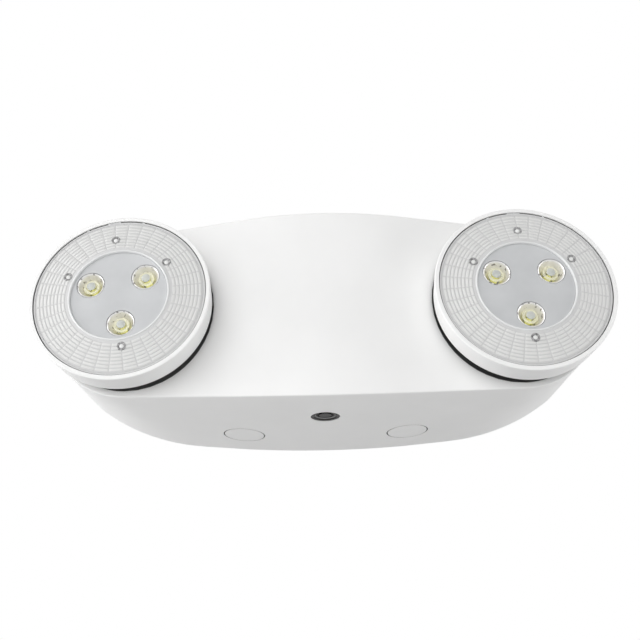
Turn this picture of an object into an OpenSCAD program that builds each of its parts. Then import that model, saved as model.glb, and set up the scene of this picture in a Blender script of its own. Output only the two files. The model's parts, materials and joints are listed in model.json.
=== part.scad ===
// Wall emergency light: bowed oval housing with two round lamp heads.
// Each head swivels in a round seat and tilts on a hinge screw.
// Frame: +X right, +Z up, the wall is the plane y = 0 and the light stands out to -Y.

/* [Body] */
// Width of the housing at the wall
body_w = 275; // [268:1:282]
// Height of the housing at the wall
body_h = 99.5; // [97:0.5:104]
// Depth from the wall to the middle of the front
body_d = 92.5; // [88:0.5:98]
// Radius of the long upper and lower flanks
flank_r = 628; // [560:1:700]
// Radius of the bowed front
front_r = 268; // [230:1:320]
// Wall thickness of the housing
wall = 2.5; // [2:0.1:3]

/* [Lamp seats] */
// Distance of each seat centre in from the end of the housing
seat_inset = 42; // [41:0.5:44]
// Angle by which each seat faces outward
seat_pan = 8.5; // [7:0.1:11]
// Radius of the round recess
seat_r = 41.3; // [40.4:0.1:42]
// Width of the rim round the recess
seat_rim = 3.2; // [2.6:0.1:3.4]
// Depth of the recess
seat_depth = 16; // [14:0.5:18]
// Distance of the swivel socket outward from the middle of the recess
socket_shift = 2.4; // [0:0.1:4]

/* [Lamp heads] */
// Radius of the head at its bezel
head_r = 44.9; // [44.3:0.1:45.4]
// Radius of the head at its back edge
head_back_r = 43.5; // [42.8:0.1:44]
// Depth of the head from its back to the edge of the lens
head_depth = 14.8; // [13:0.1:16]
// Thickness of the head's wall
head_wall = 1.8; // [1.4:0.1:2.2]
// Radius of the lens
lens_r = 42.6; // [41.8:0.1:42.8]
// Radius of the plate in the middle of the lens
plate_r = 23.9; // [23:0.1:24.5]
// Height of the inner ring over the edge of the lens
lens_crown = 1.9; // [1:0.1:2.5]
// Distance of each light emitter from the middle of the head
led_ring_r = 15.65; // [14.5:0.05:16]
// Radius of one moulded optic
optic_r = 7; // [6:0.1:7.2]
// Distance of three of the lens bosses from the middle
boss_ring_r = 28.2; // [27.6:0.1:30]
// Distance of the fourth lens boss from the middle
odd_boss_r = 31.4; // [31:0.1:34]

/* [Swivel and tilt] */
// Height of the hinge over the seat's rim
hinge_rise = -0.4; // [-1:0.1:2]
// Distance of the hinge from the axis of the swivel
hinge_shift = 0.6; // [0:0.1:1.5]
// Distance from the hinge to the back of the head
hinge_gap = 6.1; // [5.9:0.1:7]
// Turn of each swivel base
swivel_set = 30.7; // [0:0.1:45]
// Inward tilt of each head on its hinge
tilt_set = 6.7; // [0:0.1:7]
// Radius of the hinge screw
hinge_screw_r = 2; // [1.5:0.1:2.2]
// Radius of the hollow swivel spigot
spigot_r = 9; // [8:0.1:10]

/* [Test button] */
// Distance of the button back from the middle of the front
button_in = 33; // [31.5:0.5:35.5]
// Radius of the smoked window round the button
window_r = 7.3; // [6.8:0.1:7.8]
// Radius of the button
button_r = 3.2; // [2.8:0.1:3.5]
// Travel of the button
button_travel = 1.2; // [0.8:0.1:1.5]

/* [Conduit knockouts] */
// Distance of each knockout from the middle
knockout_x = 43.6; // [40:0.1:46]
// Distance of each knockout from the wall
knockout_y = 27.2; // [25:0.1:30]
// Radius of a knockout for half-inch conduit
knockout_r = 11.1; // [10.5:0.1:11.5]
// Width of the groove round a knockout
knockout_groove = 0.6; // [0.4:0.1:0.8]

/* [Wall plate] */
// Thickness of the wall plate
plate_t = 2; // [1.6:0.1:2.4]
// Radius of the cable hole in the plate
cable_hole_r = 11.1; // [10:0.1:13]
// Distance between the two box screw holes
box_hole_span = 88.9; // [84:0.1:92]
// Radius of a box screw hole
box_hole_r = 2.4; // [2.1:0.1:2.7]
// Distance between the two keyholes
keyhole_span = 152; // [146:1:160]

/* [Battery] */
// Radius of one cell
cell_r = 11.2; // [10:0.1:11.4]
// Length of one cell
cell_l = 42; // [40:0.5:43]

/* [Circuit board] */
// Width of the circuit board
board_w = 88; // [84:1:90]
// Thickness of the circuit board
board_t = 1.6; // [1.2:0.1:2]
// Distance of the board's back face from the middle of the front
board_in = 24; // [23:0.5:25]

/* [Hidden] */

LEFT = -1;
RIGHT = 1;

// fits and clearances
run_fit = 0.05;
snug_fit = 0.15;
free_gap = 0.4;
cut_over = 1;

// outline of the housing at the wall
flank_angle = 6.6;
shoulder_angle = 37;
arc_steps = 12;
bow_steps = 12;
round_fn = 96;
small_fn = 48;

// turn of the emitter pattern in each head, left and right
optic_turn_left = 7.3;
optic_turn_right = 1.7;

// wall plate
lip_h = 3;
lip_t = 1.6;
latch_w = 12;
latch_x = 40;
latch_h = 9;
latch_t = 1.4;
latch_hook = 1;
latch_slot = 1;
hook_h = 1.8;
gang_hole_span = 83.3;
keyhole_r = 4.2;
keyhole_slot_r = 2.1;
keyhole_drop = 7;

// seat cup and its swivel
seat_floor = 3;
cup_wall = 2;
base_r = 16;
base_t = 3;
neck_r = 12;
neck_top_r = 7;
tongue_t = 7.8;
tongue_r = 5;
ear_r = 5.2;
ear_t = 4;
spigot_tail = 5.5;
spigot_wall = 2.6;
washer_t = 0.9;
washer_r = 14;
clip_t = 1.2;
clip_r = 12;
clip_groove = 1;
screw_head_r = 3.4;
screw_head_t = 2.4;
nut_af = 7;
nut_t = 3;
wire_hole_r = 2.2;
wire_hole_x = 11;

// inside of a head
head_back_t = 2;
bezel_lip = 0.4;
bezel_round = 0.6;
back_edge = 0.8;
lens_t = 1.6;
lens_edge_t = 2.2;
lens_seat_w = 1.4;
lens_skirt = 4.5;
lens_skirt_t = 1;
lens_foot_w = 3;
boss_r = 2.3;
boss_drop = 2;
boss_pin_r = 1;
reflector_t = 1;
reflector_r = 40.6;
reflector_rise = 5;
reflector_foot = 2.2;
led_board_t = 1.6;
led_board_r = 22;
led_board_up = 3.2;
board_stub_r = 3;
led_side = 3.5;
led_h = 1.4;
optic_base_r = 3.2;
optic_well_r = 2.3;
optic_well = 3;
optic_dish_r = 2.6;
optic_dish = 2.4;
optic_flange = 1;
led_plate_t = 1.2;
plate_drop = 0.3;
plate_leg_r = 1.6;
leg_ring_share = 0.8;

// window and button
window_recess = 0.3;
window_seat_gap = 0.1;
window_flange = 1.6;
window_flange_t = 1.2;
window_dish = 1.5;
window_rim = 1;
button_sink = 0.5;
button_collar = 1.4;
button_collar_t = 1;
button_top = 4.4;
plunger_r = 1.6;
plunger_l = 3.2;
plunger_in = 1.4;
switch_side = 6.4;
switch_h = 6;
lamp_bulb_r = 1.5;
lamp_bulb_x = 4.9;
lamp_bulb_l = 4.6;
lamp_foot = 5;

// knockouts
groove_depth_share = 0.55;

// battery and its straps
cell_count = 3;
cell_step = 0.6;
cell_nub_r = 2.6;
cell_nub = 0.5;
sleeve_t = 0.4;
battery_off = 3.4;
strap_w = 9;
strap_t = 1.2;
strap_gap = 0.02;
strap_x = 34;
strap_foot = 6.6;
strap_screw_r = 1.5;
strap_head_r = 2.8;
strap_head_t = 1.6;
strap_boss_r = 3;

// circuit board, with the places down it as shares of its height
post_x = 39;
post_edge = 5;
post_r = 3.4;
post_pilot_r = 1.15;
board_hole_r = 1.6;
board_screw_r = 1.2;
board_head_r = 2.6;
board_head_t = 1.8;
board_screw_l = 7;
board_low_gap = 10.5;
board_top_gap = 16.5;
core_w = 32;
core_h = 27;
core_d = 12;
core_x = 21;
core_share = 50 / 145;
core_leg = 6;
coil_over = 4;
relay_size = [15, 11, 12];
relay_x = -5;
relay_share = 36 / 145;
terminal_size = [20, 10, 11];
terminal_x = -25;
terminal_share = 22 / 145;
terminal_ways = 3;
terminal_hole_r = 1.9;
socket_size = [8, 5.5, 7];
socket_xs = [-37, 37, -5];
socket_shares = [90, 102, 12] / 145;
socket_slot = [6, 2.4, 4];
capacitor_sizes = [[-26, 5, 12], [-13, 4, 11], [-24, 6.3, 16], [24, 4, 9]];
capacitor_shares = [54, 66, 86, 102] / 145;
lead_r = 1.1;
lead_sides = 8;
lead_steps = 5;
lead_rise = 6;
lead_reach = 2;

// colours
shell_white = [0.95, 0.95, 0.94];
plate_white = [0.88, 0.88, 0.87];
clear_tint = [0.86, 0.88, 0.88, 0.45];
smoke_tint = [0.16, 0.15, 0.15];
satin_grey = [0.66, 0.67, 0.68];
board_green = [0.11, 0.36, 0.2];
steel = [0.7, 0.71, 0.72];
lead_white = [0.85, 0.84, 0.8];

// derived places
half_w = body_w / 2;
half_h = body_h / 2;
seat_x = half_w - seat_inset;
bow_x = front_r * sin(seat_pan);
bow_y = body_d - front_r + front_r * cos(seat_pan);
seat_y = bow_y - (seat_x - bow_x) * tan(seat_pan);
rim_r = seat_r + seat_rim;
cup_r = seat_r + cup_wall;
neck_h = seat_depth + hinge_rise - base_t - ear_r - free_gap;
head_rear = hinge_gap;
head_rim = hinge_gap + head_depth;
lens_floor = head_rim - lens_edge_t;
led_floor = head_rear + head_back_t + led_board_up;
led_top = led_floor + led_board_t;
plate_top = head_rim - plate_drop;
window_z = -half_h + window_recess;
strap_reach = cell_r + sleeve_t + strap_t;
foot_depth = plate_t + battery_off;
battery_y = foot_depth + strap_reach;
battery_front = battery_y + strap_reach;
lip_inset = wall + free_gap;
battery_z = flank_z(strap_x + strap_w, lip_inset + lip_t) - strap_reach - strap_foot - free_gap;
board_y = body_d - board_in;
button_y = body_d - button_in;
board_low = board_low_gap - half_h;
board_top = half_h - board_top_gap;
post_low = board_low + 2 * post_edge;
post_top = board_top - post_edge;
bay_y = (battery_front + board_y) / 2;
pack_l = cell_count * cell_l + (cell_count - 1) * cell_step;
cell_pitch = cell_l + cell_step;

// Points of a quarter of the outline, moved inward by inset, from the top to the end.
function quarter(inset) =
    let (
        a = half_w - inset,
        h = half_h - inset,
        r1 = flank_r - inset,
        p1 = [r1 * sin(flank_angle), h - r1 + r1 * cos(flank_angle)],
        k = (1 - sin(shoulder_angle)) / cos(shoulder_angle),
        turn = [sin(shoulder_angle) - sin(flank_angle), cos(shoulder_angle) - cos(flank_angle)],
        r2 = (a - p1.x - k * p1.y) / (turn.x + k * turn.y),
        c2 = p1 - r2 * [sin(flank_angle), cos(flank_angle)],
        p2 = c2 + r2 * [sin(shoulder_angle), cos(shoulder_angle)],
        r3 = p2.y / cos(shoulder_angle),
        c3 = [p2.x - r3 * sin(shoulder_angle), 0]
    )
    concat(
        arc_points([0, h - r1], r1, 0, flank_angle),
        arc_points(c2, r2, flank_angle, shoulder_angle),
        arc_points(c3, r3, shoulder_angle, 90)
    );

// Points on an arc, with angles measured from +Y toward +X and the last point left to the next arc.
function arc_points(centre, r, from, to) =
    [for (i = [0 : arc_steps - 1])
        let (t = from + (to - from) * i / arc_steps)
        centre + r * [sin(t), cos(t)]];

// The whole outline, clockwise from the top.
function outline(inset) =
    let (q = quarter(inset), n = len(q), tip = [half_w - inset, 0])
    concat(
        q,
        [tip],
        [for (i = [n - 1 : -1 : 0]) [q[i].x, -q[i].y]],
        [for (i = [1 : n - 1]) [-q[i].x, -q[i].y]],
        [-tip],
        [for (i = [n - 1 : -1 : 1]) [-q[i].x, q[i].y]]
    );

// Depth of the bowed front at a distance x from the middle.
function front_depth(x) =
    body_d - front_r + sqrt(front_r * front_r - x * x);

// Puts a flat shape on the plane at depth y, facing out of the wall.
module from_wall(y) {
    translate([0, -y, 0]) rotate([90, 0, 0]) children();
}

// Frame of a seat: the origin on the seat's rim plane, +Z out of the seat, +Y up.
module at_seat(side) {
    translate([side * seat_x, -seat_y, 0])
        rotate([0, 0, side * seat_pan])
            rotate([90, 0, 0])
                children();
}

// Frame of a swivel socket, in the floor of its seat.
module at_socket(side) {
    at_seat(side) translate([side * socket_shift, 0, 0]) children();
}

// Frame of a swivel base, turned with it about the socket's axis.
module at_swivel(side) {
    at_socket(side) rotate([0, 0, -side * swivel_set]) children();
}

// Frame of a head: the origin on the hinge, +Y along the hinge screw, +Z out of the lens.
module at_head(side) {
    at_swivel(side)
        translate([side * hinge_shift, 0, hinge_rise])
            rotate([0, -side * tilt_set, 0])
                children();
}

// Frame of a head's optics, turned about the head's own axis.
module at_optics(side) {
    turn = side == LEFT ? optic_turn_left : optic_turn_right;
    at_head(side) rotate([0, 0, turn + side * swivel_set]) children();
}

// Repeats a piece at the three emitters.
module at_emitters() {
    for (t = [-90, 30, 150]) rotate([0, 0, t]) translate([led_ring_r, 0, 0]) children();
}

// Repeats a piece at the four lens bosses.
module at_bosses() {
    for (t = [-90, 30, 150]) rotate([0, 0, t]) translate([boss_ring_r, 0, 0]) children();
    rotate([0, 0, 90]) translate([odd_boss_r, 0, 0]) children();
}

// Height of the flank above the middle at a distance x, moved inward by inset.
function flank_z(x, inset = 0) = half_h - flank_r + sqrt(pow(flank_r - inset, 2) - x * x);

// Flat strips that follow the bowed front, the outer ones level with the seats.
module bow_strips(inset) {
    r = front_r - inset;
    step = seat_pan / bow_steps;
    strip_w = 2 * r * tan(step / 2);
    for (i = [-bow_steps : bow_steps]) {
        h = flank_z(r * sin(i * step), inset);
        translate([0, front_r - body_d, 0])
            rotate([0, 0, i * step])
                translate([-strip_w / 2, -r, -h])
                    cube([strip_w, cut_over, 2 * h]);
    }
}

// The housing's outer form, moved inward by inset and starting at depth start.
module body_form(inset, start) {
    hull() {
        from_wall(start) linear_extrude(cut_over) polygon(outline(inset));
        bow_strips(inset);
        for (side = [LEFT, RIGHT])
            at_seat(side)
                translate([0, 0, -inset - cut_over])
                    cylinder(r = rim_r - inset, h = cut_over, $fn = round_fn);
    }
}

// Frame of a knockout, on the lower flank and square to it.
module at_knockout(side) {
    lean = asin(knockout_x / flank_r);
    translate([side * knockout_x, -knockout_y, -half_h + flank_r * (1 - cos(lean))])
        rotate([0, -side * lean, 0])
            children();
}

module knockout_cut() {
    difference() {
        translate([0, 0, -cut_over])
            cylinder(r = knockout_r, h = cut_over + wall * groove_depth_share, $fn = round_fn);
        translate([0, 0, -2 * cut_over])
            cylinder(r = knockout_r - knockout_groove, h = 4 * cut_over + wall, $fn = round_fn);
    }
}

// Posts that carry the circuit board, from the inside of the front.
module board_posts() {
    root = front_depth(post_x) - wall / 2;
    for (x = [-post_x, post_x], z = [post_low, post_top])
        translate([x, 0, z])
            difference() {
                from_wall(board_y + board_t)
                    cylinder(r = post_r, h = root - board_y - board_t, $fn = small_fn);
                from_wall(board_y)
                    cylinder(r = post_pilot_r, h = board_t + board_screw_l + free_gap, $fn = small_fn);
            }
}

module housing() {
    color(shell_white)
    difference() {
        union() {
            difference() {
                body_form(0, 0);
                difference() {
                    body_form(wall, -cut_over);
                    for (side = [LEFT, RIGHT])
                        at_seat(side)
                            translate([0, 0, -seat_depth - seat_floor])
                                cylinder(r = cup_r, h = seat_depth + seat_floor + wall, $fn = round_fn);
                }
            }
            board_posts();
        }
        for (side = [LEFT, RIGHT]) {
            at_seat(side)
                translate([0, 0, -seat_depth])
                    cylinder(r = seat_r, h = seat_depth + wall, $fn = round_fn);
            at_socket(side)
                translate([0, 0, -seat_depth - seat_floor - cut_over])
                    cylinder(r = spigot_r + run_fit, h = seat_floor + 2 * cut_over, $fn = round_fn);
            at_knockout(side) knockout_cut();
            latch_slots(side);
        }
        translate([0, -button_y, -half_h - cut_over])
            cylinder(r = window_r + snug_fit, h = wall + 2 * cut_over, $fn = round_fn);
    }
}

// Slots inside the long walls for the plate's hooks.
module latch_slots(side) {
    slot_w = latch_w + 2 * free_gap;
    for (z = [LEFT, RIGHT])
        translate([side * latch_x - slot_w / 2, -latch_h - plate_t - free_gap / 2, 0])
            cube_toward(z, latch_edge() - cut_over, [slot_w, hook_h + free_gap, cut_over + latch_slot]);
}

// Height of the inside of the long walls at the latches.
function latch_edge() = flank_z(latch_x + latch_w / 2, wall);

// A block whose near face is at height from, built up or down.
module cube_toward(z, from, size) {
    translate([0, 0, z > 0 ? from : -from - size.z]) cube(size);
}

module keyhole(x) {
    translate([x, 0]) circle(r = keyhole_r, $fn = small_fn);
    translate([x, keyhole_drop]) circle(r = keyhole_slot_r, $fn = small_fn);
    translate([x - keyhole_slot_r, 0]) square([2 * keyhole_slot_r, keyhole_drop]);
}

module back_plate() {
    color(plate_white)
    union() {
        from_wall(0) linear_extrude(plate_t) difference() {
            polygon(outline(lip_inset));
            plate_holes();
        }
        from_wall(0) linear_extrude(plate_t + lip_h) difference() {
            polygon(outline(lip_inset));
            polygon(outline(lip_inset + lip_t));
        }
        for (side = [LEFT, RIGHT]) {
            plate_latches(side);
            strap_bosses(side);
        }
    }
}

module plate_holes() {
    circle(r = cable_hole_r, $fn = round_fn);
    for (side = [LEFT, RIGHT]) {
        translate([side * box_hole_span / 2, 0]) circle(r = box_hole_r, $fn = small_fn);
        translate([0, side * gang_hole_span / 2]) circle(r = box_hole_r, $fn = small_fn);
        keyhole(side * keyhole_span / 2);
    }
}

// Spring tongues with hooks that hold the housing on the plate.
module plate_latches(side) {
    edge = latch_edge() - free_gap;
    for (z = [LEFT, RIGHT])
        translate([side * latch_x - latch_w / 2, -latch_h - plate_t, 0]) {
            cube_toward(z, edge - latch_t, [latch_w, latch_h + plate_t, latch_t]);
            cube_toward(z, edge - latch_t, [latch_w, hook_h, latch_t + latch_hook]);
        }
}

// Repeats a piece at a strap's two feet, on the wall's plane.
module at_strap_feet(side) {
    for (z = [LEFT, RIGHT])
        translate([side * strap_x, 0, battery_z + z * (strap_reach + strap_foot / 2)]) children();
}

// Bosses on the plate for the battery straps.
module strap_bosses(side) {
    at_strap_feet(side)
        difference() {
            from_wall(plate_t / 2)
                cylinder(r = strap_boss_r, h = foot_depth - plate_t / 2, $fn = small_fn);
            from_wall(plate_t)
                cylinder(r = strap_screw_r, h = foot_depth, $fn = small_fn);
        }
}

module indicator_window() {
    color(smoke_tint)
    translate([0, -button_y, 0])
    difference() {
        union() {
            translate([0, 0, window_z])
                cylinder(r = window_r, h = collar_z() - window_z, $fn = round_fn);
            translate([0, 0, collar_z() - window_flange_t])
                cylinder(r = window_r + window_flange, h = window_flange_t, $fn = round_fn);
        }
        translate([0, 0, window_z - cut_over])
            cylinder(r = button_r + run_fit, h = collar_z() - window_z + 2 * cut_over, $fn = round_fn);
        translate([0, 0, window_z])
            cylinder(r1 = window_r - window_rim, r2 = button_r + window_rim, h = window_dish,
                $fn = round_fn);
    }
}

// Height of the top of the window's flange, where the button's collar rests.
function collar_z() = wall - half_h + window_seat_gap + window_flange_t;

module test_button() {
    color(smoke_tint)
    translate([0, -button_y, 0])
    union() {
        translate([0, 0, window_z + button_sink])
            cylinder(r = button_r, h = button_top, $fn = round_fn);
        translate([0, 0, collar_z()])
            cylinder(r = button_r + button_collar, h = button_collar_t, $fn = round_fn);
    }
}

// Height of the top of the button, where the switch's plunger rests.
function button_top_z() = window_z + button_sink + button_top;

// Height of the underside of the switch.
function switch_z() = button_top_z() + plunger_l - plunger_in;

module switch_plunger() {
    color([0.2, 0.2, 0.2])
    translate([0, -button_y, button_top_z()])
        cylinder(r = plunger_r, h = plunger_l, $fn = small_fn);
}

module test_switch() {
    color([0.25, 0.25, 0.27])
    difference() {
        union() {
            translate([-switch_side / 2, -button_y - switch_side / 2, switch_z()])
                cube([switch_side, switch_side, switch_h]);
            translate([-switch_side / 2, -board_y, switch_z() + switch_h / 2])
                cube([switch_side, board_y - button_y, switch_h / 2]);
        }
        translate([0, -button_y, switch_z() - cut_over])
            cylinder(r = plunger_r + run_fit, h = cut_over + plunger_in + button_travel + free_gap,
                $fn = small_fn);
    }
}

module indicator_leds() {
    top = collar_z() + button_collar_t + button_travel + free_gap;
    color([0.75, 0.3, 0.25])
    for (side = [LEFT, RIGHT])
        translate([side * (lamp_bulb_x + lamp_bulb_r), -button_y, top]) {
            sphere(r = lamp_bulb_r, $fn = small_fn);
            cylinder(r = lamp_bulb_r, h = lamp_bulb_l, $fn = small_fn);
            translate([-lamp_bulb_r, button_y - board_y, lamp_bulb_l])
                cube([2 * lamp_bulb_r, board_y - button_y + lamp_bulb_r, lamp_foot / 2]);
        }
}

module circuit_board() {
    color(board_green)
    difference() {
        translate([-board_w / 2, -board_y - board_t, board_low])
            cube([board_w, board_t, board_top - board_low]);
        for (x = [-post_x, post_x], z = [post_low, post_top])
            translate([x, 0, z])
                from_wall(board_y - cut_over)
                    cylinder(r = board_hole_r, h = board_t + 2 * cut_over, $fn = small_fn);
    }
}

module board_screws() {
    color(steel)
    for (x = [-post_x, post_x], z = [post_low, post_top])
        translate([x, 0, z]) {
            from_wall(board_y - board_head_t)
                cylinder(r = board_head_r, h = board_head_t, $fn = small_fn);
            from_wall(board_y - board_head_t)
                cylinder(r = post_pilot_r, h = board_head_t + board_t + board_screw_l, $fn = small_fn);
        }
}

// Laminated core: two windows beside the middle leg.
module transformer_core() {
    window_w = (core_w - 3 * core_leg) / 2;
    color([0.32, 0.33, 0.36])
    translate([core_x - core_w / 2, -board_y + coil_over, down_board(core_share) - core_h / 2])
    difference() {
        cube([core_w, core_d, core_h]);
        for (x = [core_leg, 2 * core_leg + window_w])
            translate([x, -cut_over, core_leg])
                cube([window_w, core_d + 2 * cut_over, core_h - 2 * core_leg]);
    }
}

// Winding round the middle leg, with a hole that the leg fills.
module transformer_coil() {
    window_w = (core_w - 3 * core_leg) / 2;
    coil_w = core_leg + 2 * window_w - 2 * snug_fit;
    coil_h = core_h - 2 * core_leg - 2 * snug_fit;
    color([0.8, 0.62, 0.25])
    translate([core_x, -board_y, down_board(core_share)])
    difference() {
        translate([-coil_w / 2, 0, -coil_h / 2])
            cube([coil_w, core_d + 2 * coil_over, coil_h]);
        translate([-core_leg / 2 - snug_fit, coil_over - snug_fit, -core_h])
            cube([core_leg + 2 * snug_fit, core_d + 2 * snug_fit, 2 * core_h]);
    }
}

// Height of a place at a share of the way down the board.
function down_board(share) = board_top - share * (board_top - board_low);

// Can capacitors, each with a place across the board, a radius and a height.
module capacitors() {
    color([0.16, 0.18, 0.24])
    for (i = [0 : len(capacitor_sizes) - 1])
        translate([capacitor_sizes[i].x, -board_y, down_board(capacitor_shares[i])])
            rotate([-90, 0, 0])
                cylinder(r = capacitor_sizes[i].y, h = capacitor_sizes[i].z, $fn = small_fn);
}

// A block that stands on the back face of the board, with its middle at x and a share down.
module on_board(x, share, size) {
    translate([x - size.x / 2, -board_y, down_board(share) - size.y / 2])
        cube([size.x, size.z, size.y]);
}

module relay() {
    color([0.2, 0.35, 0.6]) on_board(relay_x, relay_share, relay_size);
}

module mains_terminal() {
    pitch = terminal_size.x / terminal_ways;
    color([0.2, 0.45, 0.3])
    difference() {
        on_board(terminal_x, terminal_share, terminal_size);
        for (i = [0 : terminal_ways - 1])
            translate([terminal_x + (i - (terminal_ways - 1) / 2) * pitch,
                    -board_y + terminal_size.z + cut_over, down_board(terminal_share)])
                rotate([90, 0, 0])
                    cylinder(r = terminal_hole_r, h = cut_over + terminal_size.z / 2, $fn = small_fn);
    }
}

module lead_sockets() {
    color([0.9, 0.89, 0.84])
    for (i = [0 : len(socket_xs) - 1])
        difference() {
            on_board(socket_xs[i], socket_shares[i], socket_size);
            translate([0, socket_size.z - socket_slot.z + cut_over, 0])
                on_board(socket_xs[i], socket_shares[i], socket_slot);
        }
}

// Repeats a piece at each cell of the stick pack, which lies along X.
module at_cells() {
    for (i = [0 : cell_count - 1])
        translate([(i - (cell_count - 1) / 2) * cell_pitch - cell_l / 2, -battery_y, battery_z])
            rotate([0, 90, 0])
                children();
}

module battery_cells() {
    color([0.3, 0.32, 0.35])
    at_cells() {
        cylinder(r = cell_r, h = cell_l, $fn = round_fn);
        translate([0, 0, cell_l]) cylinder(r = cell_nub_r, h = cell_nub, $fn = small_fn);
    }
}

module battery_sleeve() {
    color([0.15, 0.4, 0.65])
    translate([-pack_l / 2, -battery_y, battery_z])
        rotate([0, 90, 0])
            difference() {
                cylinder(r = cell_r + sleeve_t, h = pack_l, $fn = round_fn);
                translate([0, 0, -cut_over])
                    cylinder(r = cell_r, h = pack_l + 2 * cut_over, $fn = round_fn);
            }
}

// Two straps that hold the pack down on the plate's bosses.
module battery_straps() {
    hold_r = cell_r + sleeve_t;
    foot_z = strap_reach + strap_foot;
    color(steel)
    difference() {
        for (side = [LEFT, RIGHT])
            translate([side * strap_x - strap_w / 2, 0, battery_z])
                difference() {
                    union() {
                        translate([0, -battery_y, 0]) rotate([0, 90, 0])
                            cylinder(r = strap_reach, h = strap_w, $fn = round_fn);
                        translate([0, -battery_y, -strap_reach])
                            cube([strap_w, strap_reach, 2 * strap_reach]);
                        translate([0, -foot_depth - strap_t, -foot_z])
                            cube([strap_w, strap_t, 2 * foot_z]);
                    }
                    translate([-cut_over, -battery_y, 0]) rotate([0, 90, 0])
                        cylinder(r = hold_r + strap_gap, h = strap_w + 2 * cut_over, $fn = round_fn);
                    translate([-cut_over, -battery_y, -hold_r - strap_gap])
                        cube([strap_w + 2 * cut_over, battery_y, 2 * (hold_r + strap_gap)]);
                }
        for (side = [LEFT, RIGHT])
            at_strap_feet(side)
                from_wall(0)
                    cylinder(r = strap_screw_r + snug_fit, h = battery_y, $fn = small_fn);
    }
}

module strap_screws() {
    color(steel)
    for (side = [LEFT, RIGHT])
        at_strap_feet(side) {
            from_wall(foot_depth + strap_t)
                cylinder(r = strap_head_r, h = strap_head_t, $fn = small_fn);
            from_wall(plate_t)
                cylinder(r = strap_screw_r, h = foot_depth + strap_t - plate_t, $fn = small_fn);
        }
}

// Point on a smooth curve through four points, at share t between the second and the third.
function smooth_point(a, b, c, d, t) =
    0.5 * (2 * b + (c - a) * t + (2 * a - 5 * b + 4 * c - d) * t * t
        + (3 * b - a - 3 * c + d) * t * t * t);

// A route through the given points, with lead_steps pieces to each stretch.
function route(points) =
    let (n = len(points))
    concat(
        [for (i = [0 : n - 2], k = [0 : lead_steps - 1])
            smooth_point(points[max(i - 1, 0)], points[i], points[i + 1], points[min(i + 2, n - 1)],
                k / lead_steps)],
        [points[n - 1]]
    );

function unit(v) = v / norm(v);

// Number of a point in the rings of a lead.
function ring_point(i, k) = i * lead_sides + k;

// A round lead along a route, as one solid.
module lead(points) {
    path = route(points);
    n = len(path);
    rings = [for (i = [0 : n - 1])
        let (
            along = unit(path[min(i + 1, n - 1)] - path[max(i - 1, 0)]),
            side = unit(cross(along, [0.1, 0.2, 1])),
            up = cross(along, side)
        )
        for (k = [0 : lead_sides - 1])
            path[i] + lead_r * (cos(360 * k / lead_sides) * side + sin(360 * k / lead_sides) * up)];
    polyhedron(
        points = rings,
        faces = concat(
            [[for (k = [0 : lead_sides - 1]) k]],
            [for (i = [0 : n - 2], k = [0 : lead_sides - 1])
                let (m = (k + 1) % lead_sides)
                [ring_point(i, k), ring_point(i + 1, k), ring_point(i + 1, m), ring_point(i, m)]],
            [[for (k = [lead_sides - 1 : -1 : 0]) ring_point(n - 1, k)]]
        )
    );
}

// Where a lead leaves its socket on the board.
function socket_mouth(i) =
    [socket_xs[i], socket_size.z - board_y, down_board(socket_shares[i])];

// A point on a socket's axis, at a height over the seat's rim plane.
function socket_point(side, up) =
    [side * (seat_x + socket_shift * cos(seat_pan) + up * sin(seat_pan)),
        socket_shift * sin(seat_pan) - seat_y - up * cos(seat_pan), 0];

module lamp_lead(side) {
    start = socket_mouth(side == LEFT ? 0 : 1);
    tail = -seat_depth - seat_floor - spigot_tail;
    color(lead_white)
    lead([
        start,
        start + [0, lead_rise, 0],
        [side * (board_w / 2 + lead_rise), -bay_y, start.z],
        socket_point(side, tail - 2 * lead_rise),
        socket_point(side, tail - lead_rise),
        socket_point(side, tail + lead_reach)
    ]);
}

module battery_lead() {
    start = socket_mouth(2);
    end = [-pack_l / 2 - lead_r, -battery_y, battery_z];
    color(lead_white)
    lead([
        start,
        start + [0, lead_rise, 0],
        [-strap_x, -battery_front - lead_rise, battery_z],
        end + [-lead_rise, -strap_reach, 0],
        end + [-lead_rise, 0, 0],
        end
    ]);
}

// Swivel base: a disc on the seat's floor, a tongue for the hinge and a hollow spigot.
module swivel_base(side) {
    floor_z = -seat_depth;
    tail = seat_floor + spigot_tail;
    color(shell_white)
    at_swivel(side)
    difference() {
        union() {
            translate([0, 0, floor_z]) cylinder(r = base_r, h = base_t, $fn = round_fn);
            translate([0, 0, floor_z + base_t])
                cylinder(r1 = neck_r, r2 = neck_top_r, h = neck_h, $fn = round_fn);
            translate([side * hinge_shift, 0, 0]) {
                translate([-tongue_r, -tongue_t / 2, floor_z + base_t])
                    cube([2 * tongue_r, tongue_t, seat_depth - base_t + hinge_rise]);
                hinge_barrel(tongue_r, -tongue_t / 2, tongue_t);
            }
            translate([0, 0, floor_z - tail]) cylinder(r = spigot_r, h = tail + cut_over, $fn = round_fn);
        }
        translate([0, 0, floor_z - tail - cut_over])
            cylinder(r = spigot_r - spigot_wall, h = tail + base_t + cut_over, $fn = round_fn);
        translate([side * hinge_shift, 0, 0]) {
            hinge_barrel(hinge_screw_r + run_fit, -tongue_t, 2 * tongue_t);
            for (x = [LEFT, RIGHT])
                translate([x * (tongue_r + wire_hole_r + free_gap), 0, floor_z - cut_over])
                    cylinder(r = wire_hole_r, h = base_t + neck_h + 2 * cut_over, $fn = small_fn);
        }
        translate([0, 0, floor_z - seat_floor - washer_t - clip_t])
            clip_groove_cut();
    }
}

// A round bar along the hinge, from y to y + l.
module hinge_barrel(r, y, l) {
    translate([0, y + l, hinge_rise]) rotate([90, 0, 0]) cylinder(r = r, h = l, $fn = small_fn);
}

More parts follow.
